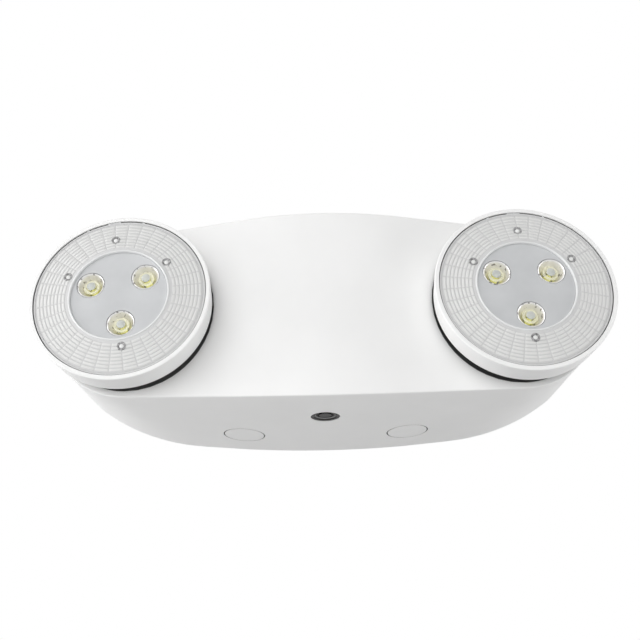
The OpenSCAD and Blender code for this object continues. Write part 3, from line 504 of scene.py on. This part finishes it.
def ribbed_lens(side):
    """Clear ribbed plastic, greyer along the arcs and radial lines between its cells, with a painted shadow round
    its edge.
    """
    material, tree, shader = new_material(side + "_ribbed_lens")
    radius, angle = polar(tree)
    past_first = math_node(tree, "SUBTRACT", radius, RIB_IN * MM)
    rows = math_node(tree, "DIVIDE", past_first, RIB_PITCH * MM)
    from_first = math_node(tree, "SUBTRACT", angle, math.radians(OPTIC_TURN[side]))
    sectors = math_node(tree, "MULTIPLY", from_first, SECTORS / (2 * math.pi))
    outside = math_node(tree, "GREATER_THAN", radius, RIB_IN * MM)
    inside = math_node(tree, "LESS_THAN", radius, RIB_OUT * MM)
    ribbed = math_node(tree, "MULTIPLY", outside, inside)
    colour = mixed(tree, ribbed, LENS_PLAIN, LENS_CELL)
    for value, width in ((rows, ROW_LINE_WIDTH), (sectors, SECTOR_LINE_WIDTH)):
        line = math_node(tree, "MULTIPLY", near_whole(tree, value, width), ribbed)
        colour = mixed(tree, line, colour, LENS_LINE)
    # Painted shadow in the gap round the lens's outer edge
    edge = math_node(tree, "GREATER_THAN", radius, (LENS_R - LENS_EDGE) * MM)
    tree.links.new(mixed(tree, edge, colour, LENS_EDGE_SHADOW), shader.inputs["Base Color"])
    shader.inputs["Alpha"].default_value = LENS_ALPHA
    shader.inputs["Specular IOR Level"].default_value = LENS_GLOSS
    fine = object_noise(tree, CLEAR_GRAIN)
    vary_roughness(tree, shader, fine, LENS_ROUGH, LENS_ROUGH + LENS_SPREAD)
    return material


def make_materials():
    """Every material of the part by name."""
    made = {name: surface(name, **look) for name, look in SURFACES.items()}
    made.update((name, clear(name, **look)) for name, look in CLEARS.items())
    made["optic_cone"] = bowl_with_painted_reflections("optic_cone")
    for side in SIDES:
        made[side + "_lens"] = ribbed_lens(side)
    # Painted shade, darkest deep in narrow gaps and corners, on the white shell and on the recess walls
    paint_corner_shade(made["shell_white"])
    paint_corner_shade(made["seat_painted_shade"])
    return made


def dress_nodes():
    """Each CAD node gets the material of its slot."""
    for part in frame["record"]["subparts"]:
        mesh = frame["nodes"][part["node"]].data
        mesh.materials.clear()
        mesh.materials.append(materials[part["material_slot"]])


# Solids in mesh code
class Shell:
    """Faces that share their corners, given in millimetres."""

    def __init__(self):
        self.points, self.faces, self.known = [], [], {}

    def corner(self, point):
        key = tuple(round(c, CORNER_PLACES) for c in point)
        if key not in self.known:
            self.known[key] = len(self.points)
            self.points.append(Vector(point))
        return self.known[key]

    def face(self, points):
        loop = []
        for point in points:
            corner = self.corner(point)
            if corner not in loop:
                loop.append(corner)
        if len(loop) > 2:
            self.faces.append(loop)

    def grid(self, rows, closed=False):
        """Quads between rows of points of the same count."""
        for low, high in zip(rows, rows[1:]):
            count = len(low)
            for i in range(count if closed else count - 1):
                k = (i + 1) % count
                self.face((low[i], low[k], high[k], high[i]))

    def mirror(self):
        """Adds the same faces on the other side of x = 0."""
        for loop in list(self.faces):
            self.face([Vector((-self.points[i].x, *self.points[i].yz)) for i in reversed(loop)])

    def close_rear(self, rear):
        """Closes a mirrored form with one flat face, from the points of its right half."""
        self.face(rear + [Vector((-p.x, p.y, p.z)) for p in reversed(rear[1:-1])])

    def piece(self, name, material):
        solid = mesh_piece(name, [p * MM for p in self.points], self.faces, material)
        square_up(solid)
        return solid


def square_up(solid):
    """Turns every face of a closed mesh outward."""
    work = bmesh.new()
    work.from_mesh(solid.data)
    bmesh.ops.recalc_face_normals(work, faces=work.faces)
    work.to_mesh(solid.data)
    work.free()


def turned(shell, profile, place, sides=HOUSING_SIDES):
    """A turned solid: a profile of radius and height, closed on its axis or on itself."""
    turns = [2 * math.pi * k / sides for k in range(sides)]
    rings = [[place @ point for point in round_ring(r, h, turns)] for r, h in profile]
    shell.grid(rings, closed=True)
    if profile[0] != profile[-1]:
        shell.face(rings[0])
        shell.face(rings[-1])


def round_ring(r, z, turns):
    return [Vector((r * math.cos(t), r * math.sin(t), z)) for t in turns]


def raised(profile, height):
    """A profile lifted to a height and closed on itself."""
    loop = [(r, height + h) for r, h in profile]
    return loop + loop[:1]


def turned_at(places, profile, sides):
    """The same turned solid at each of several places."""
    shell = Shell()
    for place in places:
        turned(shell, profile, place, sides)
    return shell


def carve(solid, tool, how):
    """Cuts a tool out of a solid, or joins it on, and takes the tool away."""
    step = solid.modifiers.new(how.lower(), "BOOLEAN")
    step.operation = how
    step.solver = "EXACT"
    step.object = tool
    shown = bpy.context.evaluated_depsgraph_get()
    mesh = bpy.data.meshes.new_from_object(solid.evaluated_get(shown))
    solid.modifiers.clear()
    solid.data = mesh
    for face in mesh.polygons:
        face.material_index = 0
    spare = tool.data
    bpy.data.objects.remove(tool)
    bpy.data.meshes.remove(spare)


def smooth_by_angle(solid, degrees):
    for face in solid.data.polygons:
        face.use_smooth = True
    solid.data.set_sharp_from_angle(angle=math.radians(degrees))


def bend(start, corner, end, steps=ROUND_STEPS):
    """Points of a rounded edge."""
    points = []
    for i in range(steps + 1):
        t = i / steps
        points.append(start * (1 - t) ** 2 + corner * 2 * t * (1 - t) + end * t * t)
    return points


# Outlines of the housing
def flank_z(x, inset=0.0):
    return HALF_H - FLANK_R + math.sqrt((FLANK_R - inset) ** 2 - x * x)


def front_y(x, inset=0.0):
    return FRONT_R - BODY_D - math.sqrt((FRONT_R - inset) ** 2 - x * x)


def facing_way(angle):
    return Vector((math.sin(angle), math.cos(angle)))


def rear_arcs():
    """Centre, radius and last angle of each arc of the rear outline, from the top to the end."""
    top = Vector((0, HALF_H - FLANK_R))
    join = top + FLANK_R * facing_way(FLANK_ANGLE)
    k = (1 - math.sin(SHOULDER_ANGLE)) / math.cos(SHOULDER_ANGLE)
    step = facing_way(SHOULDER_ANGLE) - facing_way(FLANK_ANGLE)
    shoulder_r = (HALF_W - join.x - k * join.y) / (step.x + k * step.y)
    shoulder = join - shoulder_r * facing_way(FLANK_ANGLE)
    join = shoulder + shoulder_r * facing_way(SHOULDER_ANGLE)
    end_r = join.y / math.cos(SHOULDER_ANGLE)
    end = Vector((join.x - end_r * math.sin(SHOULDER_ANGLE), 0))
    return (
        (top, FLANK_R, FLANK_ANGLE), (shoulder, shoulder_r, SHOULDER_ANGLE), (end, end_r, math.pi))


def rear_point(angle, inset):
    """Point of the rear outline that faces this angle, measured from the top to the right."""
    centre, r, _ = next(arc for arc in rear_arcs() if angle <= arc[2] + 1e-9)
    flat = centre + (r - inset) * facing_way(angle)
    return Vector((flat.x, 0, flat.y))


def seat_point(u, v, w):
    """A point of the right seat: u outward on its rim plane, v up and w out of the seat."""
    return Vector((
        SEAT_X + u * math.cos(PAN) + w * math.sin(PAN),
        u * math.sin(PAN) - SEAT_Y - w * math.cos(PAN),
        v))


def inward_way(angle):
    flat = facing_way(angle)
    return seat_point(-flat.x, -flat.y, 0) - seat_point(0, 0, 0)


def upside_down(point):
    return Vector((point.x, point.y, -point.z))


def side_lines(inset):
    """Rear point, front point and inward way of each line round the right half, top to bottom."""
    corner_x = (FRONT_R - inset) * math.sin(PAN)
    corner = Vector(((BOW_X - SEAT_X) / math.cos(PAN), flank_z(corner_x, inset)))
    rim = RIM_R - inset
    tangent = math.atan2(corner.x, corner.y) + math.acos(rim / corner.length)
    first = math.asin(BOW_X / FLANK_R)
    down = Vector((0, 0, -1))
    lines = []
    for i in range(BOW_STEPS + 1):
        x = corner_x * i / BOW_STEPS
        z = flank_z(x, inset)
        lines.append((Vector((x, 0, z)), Vector((x, front_y(x, inset), z)), down))
    for i in range(1, LINE_STEPS + 1):
        share = i / LINE_STEPS
        flat = corner.lerp(rim * facing_way(tangent), share)
        lines.append((
            rear_point(first + (tangent - first) * share, inset),
            seat_point(flat.x, flat.y, -inset),
            inward_way(tangent)))
    for i in range(1, END_STEPS + 1):
        angle = tangent + (math.pi / 2 - tangent) * i / END_STEPS
        flat = rim * facing_way(angle)
        lines.append((
            rear_point(angle, inset), seat_point(flat.x, flat.y, -inset), inward_way(angle)))
    return lines + [tuple(upside_down(p) for p in line) for line in reversed(lines[:-1])]


def seat_loop(edge):
    """The edge of a seat's flat face: round the end, then up the line where the bow begins."""
    loop = edge[BOW_STEPS:len(edge) - BOW_STEPS]
    top, low = loop[0], loop[-1]
    return loop + [low.lerp(top, i / MIDDLE_ROWS) for i in range(1, MIDDLE_ROWS)]


def seat_column(point):
    """Points from the edge of a seat's flat face, over its lip and down its wall."""
    centre = seat_point(0, 0, 0)
    away = point - centre
    angle = math.atan2(away.z, away.dot(seat_point(1, 0, 0) - centre))
    c, s = math.cos(angle), math.sin(angle)
    lip = seat_point((SEAT_R + LIP) * c, (SEAT_R + LIP) * s, 0)
    corner = seat_point(SEAT_R * c, SEAT_R * s, 0)
    wall = seat_point(SEAT_R * c, SEAT_R * s, -LIP)
    column = [point, point.lerp(lip, 0.5)] + bend(lip, corner, wall, LIP_STEPS)
    start = column[-1]
    for i in range(1, SEAT_ROWS + 1):
        sunk = LIP + (SEAT_DEPTH - LIP) * i / SEAT_ROWS
        column.append(start + (seat_point(0, 0, -sunk) - seat_point(0, 0, -LIP)))
    return column


def seat_place(side, shift=0.0):
    """Matrix of a seat: X outward, Z out of the seat."""
    out = SIDES[side] * PAN
    turn = Matrix.Rotation(out, 4, "Z") @ Matrix.Rotation(math.pi / 2, 4, "X")
    centre = Vector((SIDES[side] * SEAT_X, -SEAT_Y, 0))
    return Matrix.Translation(centre) @ turn @ Matrix.Translation((SIDES[side] * shift, 0, 0))


def knockout_place(side):
    lean = math.asin(KNOCKOUT_X / FLANK_R)
    z = -HALF_H + FLANK_R * (1 - math.cos(lean))
    turn = Matrix.Rotation(-SIDES[side] * lean, 4, "Y")
    return Matrix.Translation((SIDES[side] * KNOCKOUT_X, -KNOCKOUT_Y, z)) @ turn


def window_place():
    return Matrix.Translation((0, -WINDOW_Y, -HALF_H))


# Housing
def housing_form():
    """The closed outer form with both round recesses."""
    shell = Shell()
    lines = side_lines(0.0)
    columns = []
    for rear, front, inward in lines:
        start = front + (rear - front).normalized() * EDGE
        side = [rear.lerp(start, i / SIDE_ROWS) for i in range(SIDE_ROWS)]
        columns.append(side + bend(start, front, front + inward * EDGE))
    shell.grid(columns)
    edge = [column[-1] for column in columns]
    middle = []
    for i in range(BOW_STEPS + 1):
        top, low = edge[i], edge[-1 - i]
        middle.append([low.lerp(top, k / MIDDLE_ROWS) for k in range(MIDDLE_ROWS + 1)])
    shell.grid(middle)
    rings = list(zip(*(seat_column(point) for point in seat_loop(edge))))
    shell.grid(rings, closed=True)
    shell.face(rings[-1])
    shell.mirror()
    shell.close_rear([rear for rear, _, _ in lines])
    return shell


def housing_hollow():
    """The space inside the walls, open to the wall side."""
    shell = Shell()
    lines = side_lines(WALL)
    back = Vector((0, PAST, 0))
    shell.grid([[rear + back, rear, front] for rear, front, _ in lines])
    edge = [front for _, front, _ in lines]
    for i in range(BOW_STEPS):
        shell.face((edge[i], edge[i + 1], edge[-2 - i], edge[-1 - i]))
    shell.face(edge[BOW_STEPS:len(edge) - BOW_STEPS])
    shell.mirror()
    shell.close_rear([rear + back for rear, _, _ in lines])
    return shell


def seat_cups():
    """The walls behind both round recesses."""
    profile = [(CUP_R, -SEAT_DEPTH - SEAT_FLOOR), (CUP_R, WALL)]
    return turned_at([seat_place(side) for side in SIDES], profile, HOUSING_SIDES)


def board_posts():
    """The four posts that the circuit board stands on."""
    root = -front_y(POST_X) - WALL / 2
    places = []
    for side in SIDES:
        for z in POST_ZS:
            foot = Matrix.Translation((SIDES[side] * POST_X, 0, z))
            places.append(foot @ Matrix.Rotation(math.pi / 2, 4, "X"))
    return turned_at(places, [(POST_R, BOARD_FACE_Y), (POST_R, root)], PIN_SIDES)


def housing_holes():
    """Both spigot holes, both knockout grooves and the window hole."""
    holes = Shell()
    low, high = -SEAT_DEPTH - 2 * SEAT_FLOOR, PAST - SEAT_DEPTH
    inner = KNOCKOUT_R - GROOVE_W
    groove = [
        (inner, -PAST), (KNOCKOUT_R, -PAST), (KNOCKOUT_R, GROOVE_DEPTH), (inner, GROOVE_DEPTH),
        (inner, -PAST)]
    for side in SIDES:
        spigot = seat_place(side, SOCKET_SHIFT)
        turned(holes, [(SPIGOT_HOLE_R, low), (SPIGOT_HOLE_R, high)], spigot)
        turned(holes, groove, knockout_place(side))
    turned(holes, [(WINDOW_HOLE_R, -PAST), (WINDOW_HOLE_R, WALL + PAST)], window_place())
    return holes


def in_recess(point):
    """Whether a point in a seat's frame is on the wall or the floor of its recess."""
    sunk = SEAT_MARGIN < -point.z < SEAT_DEPTH + SEAT_MARGIN
    return sunk and point.xy.length < SEAT_R + SEAT_MARGIN


def paint_seat_shade(body):
    """The walls of both round recesses, which the photograph shows nearly black, are painted a dark grey shade."""
    body.data.materials.append(materials["seat_painted_shade"])
    for side in SIDES:
        back = seat_place(side).inverted()
        for face in body.data.polygons:
            if in_recess(back @ (face.center / MM)):
                face.material_index = 1


def housing_piece():
    """The hollow shell with its recesses, posts and holes."""
    white = materials["shell_white"]
    hollow = housing_hollow().piece("hollow", white)
    carve(hollow, seat_cups().piece("cups", white), "DIFFERENCE")
    body = housing_form().piece("housing_shell", white)
    carve(body, hollow, "DIFFERENCE")
    carve(body, board_posts().piece("posts", white), "UNION")
    carve(body, housing_holes().piece("holes", white), "DIFFERENCE")
    smooth_by_angle(body, SHARP_HOUSING)
    paint_seat_shade(body)
    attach(body, "housing")
    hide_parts("housing")


def window_ledge():
    """The polished ledge in the dish of the test window, round the button."""
    inner, outer = LEDGE_R - LEDGE_STEP, LEDGE_R + LEDGE_STEP
    profile = raised([
        (inner, LEDGE_STEP), (inner, 0.0), (LEDGE_R, -LEDGE_STEP), (outer, -LEDGE_STEP),
        (outer, LEDGE_STEP)], LEDGE_DEPTH)
    shell = turned_at([window_place()], profile, OPTIC_SIDES)
    ledge = shell.piece("window_ledge", materials["smoke_edge"])
    smooth_by_angle(ledge, SHARP_SMALL)
    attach(ledge, "housing")


# Lamp heads
def fit_head(piece, side, slot, *nodes):
    """Puts a piece made in the frame of a head's optics in its place on that head."""
    piece.data.transform(Matrix.Rotation(math.radians(OPTIC_TURN[side]), 4, "Z"))
    piece.matrix_world = head_frame(side)
    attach(piece, side + "_head")
    if nodes:
        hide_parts(*(side + node for node in nodes))


def spot(r, degrees):
    """Place on a head's lens at a radius and an angle round its axis."""
    t = math.radians(degrees)
    return Matrix.Translation((r * math.cos(t), r * math.sin(t), 0))


def emitter_places():
    return [spot(LED_RING_R, turn) for turn in EMITTER_TURNS]


def crown(r):
    """Height of the lens's smooth top over its rim at a radius r, in millimetres."""
    share = (r - PLATE_R) / (LENS_R - PLATE_R)
    return LENS_CROWN * (1 - share) ** CROWN_POWER * CROWN_SHARE


def pad_height(row_share, sector_share):
    """Height of one rounded cell of the lens over the lines round it, from 0 to 1."""
    along = min(row_share, 1 - row_share) / ROW_FLAT
    across = min(sector_share, 1 - sector_share) / SECTOR_FLAT
    return min(1.0, along) * min(1.0, across)


def lens_rows():
    """Radius, share across its row of cells and drop of each ring of the lens's top."""
    rows = [(LENS_IN_R, 0.0, 0.0), (RIB_IN - RIB_START_GAP, 0.0, 0.0)]
    for i in range(RIB_ROWS):
        rows += [(RIB_IN + (i + share) * RIB_PITCH, share, 0.0) for share in ROW_SHARES]
    rows.append((RIB_OUT, 0.0, 0.0))
    rows += [(RIB_OUT + step, 0.0, drop) for step, drop in LENS_GROOVE]
    return rows + [(LENS_R - LENS_EDGE, 0.0, 0.0), (LENS_R, 0.0, LENS_CHAMFER)]


def lens_top(shares):
    """Rings of points over the top of the lens, at shares of a whole turn."""
    top = []
    for r, row_share, drop in lens_rows():
        ring = []
        for share in shares:
            t = 2 * math.pi * share
            z = RIM_Z + crown(r) - CELL_SINK - drop
            if RIB_IN <= r < RIB_OUT:
                z += RIB_HEIGHT * pad_height(row_share, share * SECTORS % 1.0)
            ring.append(Vector((r * math.cos(t), r * math.sin(t), z)))
        top.append(ring)
    return top


def ring_lens(side):
    """The crowned ring with its rows of cells and a hole for each boss."""
    shares = [(k + share) / SECTORS for k in range(SECTORS) for share in SECTOR_SHARES]
    turns = [2 * math.pi * share for share in shares]
    top = lens_top(shares)
    foot_r = LENS_R - LENS_FOOT_W
    under = [
        round_ring(LENS_R, LENS_FLOOR, turns),
        round_ring(foot_r, LENS_FLOOR, turns),
        round_ring(foot_r, RIM_Z + crown(foot_r) - LENS_T, turns),
        round_ring(LENS_IN_R, RIM_Z + crown(LENS_IN_R) - LENS_T, turns)]
    shell = Shell()
    shell.grid(top + under + top[:1], closed=True)
    lens = shell.piece(side + "_ring_lens", materials[side + "_lens"])
    hole = [(BOSS_R - BOSS_FIT, RIM_Z - BOSS_TOOL), (BOSS_R - BOSS_FIT, RIM_Z + BOSS_TOOL)]
    holes = turned_at([spot(r, turn) for r, turn in BOSS_SPOTS], hole, PIN_SIDES)
    carve(lens, holes.piece("boss_holes", materials[side + "_lens"]), "DIFFERENCE")
    smooth_by_angle(lens, SHARP_LENS)
    fit_head(lens, side, "clear_lens", "_lens")


def lens_ring(side):
    """The bright inner edge of the lens, round the plate."""
    shell = turned_at([Matrix.Identity(4)], raised(RING_PROFILE, RING_TOP), RING_SIDES)
    ring = shell.piece(side + "_lens_ring", materials["lens_ring"])
    smooth_by_angle(ring, SHARP_SMALL)
    fit_head(ring, side, "clear_lens")


def lens_bosses(side):
    """Four hollow bosses, each round a pin of the reflector."""
    shell = Shell()
    for r, turn in BOSS_SPOTS:
        top = RIM_Z + crown(r) + BOSS_RISE
        profile = [(BOSS_HOLE_R, BOSS_FOOT), (BOSS_R, BOSS_FOOT)]
        profile += [(corner_r, top + h) for corner_r, h in BOSS_TOP]
        turned(shell, profile + profile[:1], spot(r, turn), BOSS_SIDES)
    bosses = shell.piece(side + "_lens_bosses", materials["lens_boss"])
    smooth_by_angle(bosses, SHARP_SMALL)
    fit_head(bosses, side, "clear_lens")


def boss_pins(side):
    """The bright pins of the reflector that stand in the bosses."""
    shell = Shell()
    for r, turn in BOSS_SPOTS:
        top = RIM_Z + crown(r) - PIN_SINK
        profile = [(PIN_R, BOSS_FOOT)]
        profile += [(corner_r, top + h) for corner_r, h in PIN_TOP]
        profile += [(AXIS_R, BOSS_FOOT), (PIN_R, BOSS_FOOT)]
        turned(shell, profile, spot(r, turn), PIN_SIDES)
    pins = shell.piece(side + "_boss_pins", materials["pin_white"])
    smooth_by_angle(pins, SHARP_SMALL)
    fit_head(pins, side, "bright_reflector")


def lens_tabs(side):
    """Tabs on the edge of the lens, beside and behind the odd boss."""
    corners = (
        (TAB_IN_R, LENS_FLOOR), (TAB_OUT_R, LENS_FLOOR), (TAB_OUT_R, TAB_TOP), (TAB_IN_R, TAB_TOP))
    shell = Shell()
    for middle, width in LENS_TABS:
        shares = [i / TAB_STEPS - 0.5 for i in range(TAB_STEPS + 1)]
        turns = [math.radians(middle + width * share) for share in shares]
        rings = [round_ring(r, z, turns) for r, z in corners]
        shell.grid(rings + rings[:1])
        shell.face([ring[0] for ring in rings])
        shell.face([ring[-1] for ring in rings])
    tabs = shell.piece(side + "_lens_tabs", materials["lens_ring"])
    smooth_by_angle(tabs, SHARP_FLAT)
    fit_head(tabs, side, "clear_lens")


def shown_plate(side):
    """The satin plate, cut out round each optic."""
    satin = materials["satin_plate"]
    shell = turned_at([Matrix.Identity(4)], raised(PLATE_PROFILE, PLATE_TOP), RING_SIDES)
    plate = shell.piece(side + "_shown_plate", satin)
    hole = [(OPTIC_R, PLATE_TOP - OPTIC_TOOL), (OPTIC_R, PLATE_TOP + OPTIC_TOOL)]
    holes = turned_at(emitter_places(), hole, OPTIC_SIDES)
    carve(plate, holes.piece("optic_holes", satin), "DIFFERENCE")
    smooth_by_angle(plate, SHARP_FLAT)
    fit_head(plate, side, "satin_plate", "_led_plate")


def optic_cones(side):
    """The bright bowl of each optic, from its emitter up to its rim."""
    bowl = []
    for i in range(CONE_STEPS + 1):
        share = i / CONE_STEPS
        r = CONE_FOOT_R + (CONE_RIM_R - CONE_FOOT_R) * share ** CONE_POWER
        bowl.append((r, CONE_FOOT + (CONE_RIM - CONE_FOOT) * share))
    rim = [(r, PLATE_TOP + h) for r, h in OPTIC_RIM]
    outer = [(r + CONE_WALL, h - CONE_DROP) for r, h in reversed(bowl)]
    shell = turned_at(emitter_places(), bowl + rim + outer + bowl[:1], OPTIC_SIDES)
    cones = shell.piece(side + "_optic_cones", materials["optic_cone"])
    smooth_by_angle(cones, SHARP_SMALL)
    fit_head(cones, side, "clear_lens", "_optics")


def optic_domes(side):
    """The clear middle of each optic, over its emitter."""
    shell = turned_at(emitter_places(), raised(DOME_PROFILE, DOME_TOP), DOME_SIDES)
    domes = shell.piece(side + "_optic_domes", materials["optic_dome"])
    smooth_by_angle(domes, SHARP_SMALL)
    fit_head(domes, side, "clear_lens")


def optic_wells(side):
    """The pale ring in each optic, painted pale yellow as a reflection of the yellow emitter."""
    shell = turned_at(emitter_places(), raised(WELL_PROFILE, WELL_TOP), DOME_SIDES)
    wells = shell.piece(side + "_optic_wells", materials["optic_well"])
    smooth_by_angle(wells, SHARP_SMALL)
    fit_head(wells, side, "clear_lens")


# Studio
def add_lamp(name, place, size, power):
    data = bpy.data.lights.new(name, "AREA")
    data.shape = "DISK"
    data.size = size
    data.energy = power
    lamp = bpy.data.objects.new(name, data)
    bpy.context.scene.collection.objects.link(lamp)
    lamp.location = place
    aim = Vector((0, 0, 0)) - Vector(place)
    lamp.rotation_euler = aim.to_track_quat("-Z", "Y").to_euler()


def make_world():
    """White to the camera and to gloss and clear surfaces, softer as a source of light."""
    world = bpy.data.worlds.new("studio")
    bpy.context.scene.world = world
    world.use_nodes = True
    tree = world.node_tree
    tree.nodes.clear()
    path = add_node(tree, "ShaderNodeLightPath").outputs
    seen = math_node(tree, "MAXIMUM", path["Is Camera Ray"], path["Is Transmission Ray"])
    shown = math_node(tree, "MAXIMUM", seen, path["Is Glossy Ray"])
    soft = add_node(tree, "ShaderNodeBackground", Color=(*WHITE, 1), Strength=SOFT_LIGHT)
    white = add_node(tree, "ShaderNodeBackground", Color=(*WHITE, 1), Strength=1.0)
    mix = add_node(tree, "ShaderNodeMixShader")
    out = add_node(tree, "ShaderNodeOutputWorld")
    tree.links.new(shown, mix.inputs["Fac"])
    tree.links.new(soft.outputs[0], mix.inputs[1])
    tree.links.new(white.outputs[0], mix.inputs[2])
    tree.links.new(mix.outputs[0], out.inputs["Surface"])


def make_floor():
    """A plain pale floor below the light."""
    size, z = FLOOR_HALF, FLOOR_Z
    points = [(-size, -size, z), (size, -size, z), (size, size, z), (-size, size, z)]
    pale = surface("floor_pale", **FLOOR_LOOK)
    floor = mesh_piece("floor", points, [(0, 1, 2, 3)], pale, smooth=False)


def make_camera():
    """The camera of the photograph."""
    ahead = Vector((
        -math.sin(CAMERA_TURN) * math.cos(CAMERA_RISE),
        math.cos(CAMERA_TURN) * math.cos(CAMERA_RISE),
        math.sin(CAMERA_RISE)))
    right = Vector((math.cos(CAMERA_TURN), math.sin(CAMERA_TURN), 0))
    up = right.cross(ahead)
    rolled = right * math.cos(CAMERA_ROLL) + up * math.sin(CAMERA_ROLL)
    head_up = up * math.cos(CAMERA_ROLL) - right * math.sin(CAMERA_ROLL)
    data = bpy.data.cameras.new("camera")
    data.lens = CAMERA_LENS
    data.sensor_width = CAMERA_SENSOR
    data.clip_start = CAMERA_NEAR
    camera = bpy.data.objects.new("camera", data)
    bpy.context.scene.collection.objects.link(camera)
    turn = Matrix((rolled, head_up, -ahead)).transposed().to_4x4()
    camera.matrix_world = Matrix.Translation(CAMERA_AIM - ahead * CAMERA_DISTANCE) @ turn
    bpy.context.scene.camera = camera


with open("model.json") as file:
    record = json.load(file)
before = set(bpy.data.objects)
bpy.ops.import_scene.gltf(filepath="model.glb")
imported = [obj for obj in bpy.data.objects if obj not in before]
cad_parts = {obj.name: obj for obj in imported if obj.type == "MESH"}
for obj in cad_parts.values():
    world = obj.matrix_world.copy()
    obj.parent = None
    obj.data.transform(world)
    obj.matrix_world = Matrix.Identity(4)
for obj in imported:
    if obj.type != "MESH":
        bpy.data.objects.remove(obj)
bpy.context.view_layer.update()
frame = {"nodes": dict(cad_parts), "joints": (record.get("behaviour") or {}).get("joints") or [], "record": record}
bpy.context.scene.view_settings.view_transform = "Standard"
materials = make_materials()
dress_nodes()
housing_piece()
window_ledge()
for head_side in SIDES:
    ring_lens(head_side)
    lens_ring(head_side)
    lens_bosses(head_side)
    boss_pins(head_side)
    lens_tabs(head_side)
    shown_plate(head_side)
    optic_cones(head_side)
    optic_domes(head_side)
    optic_wells(head_side)
make_floor()
make_world()
for lamp_name, lamp_values in LAMPS.items():
    add_lamp(lamp_name, *lamp_values)
make_camera()
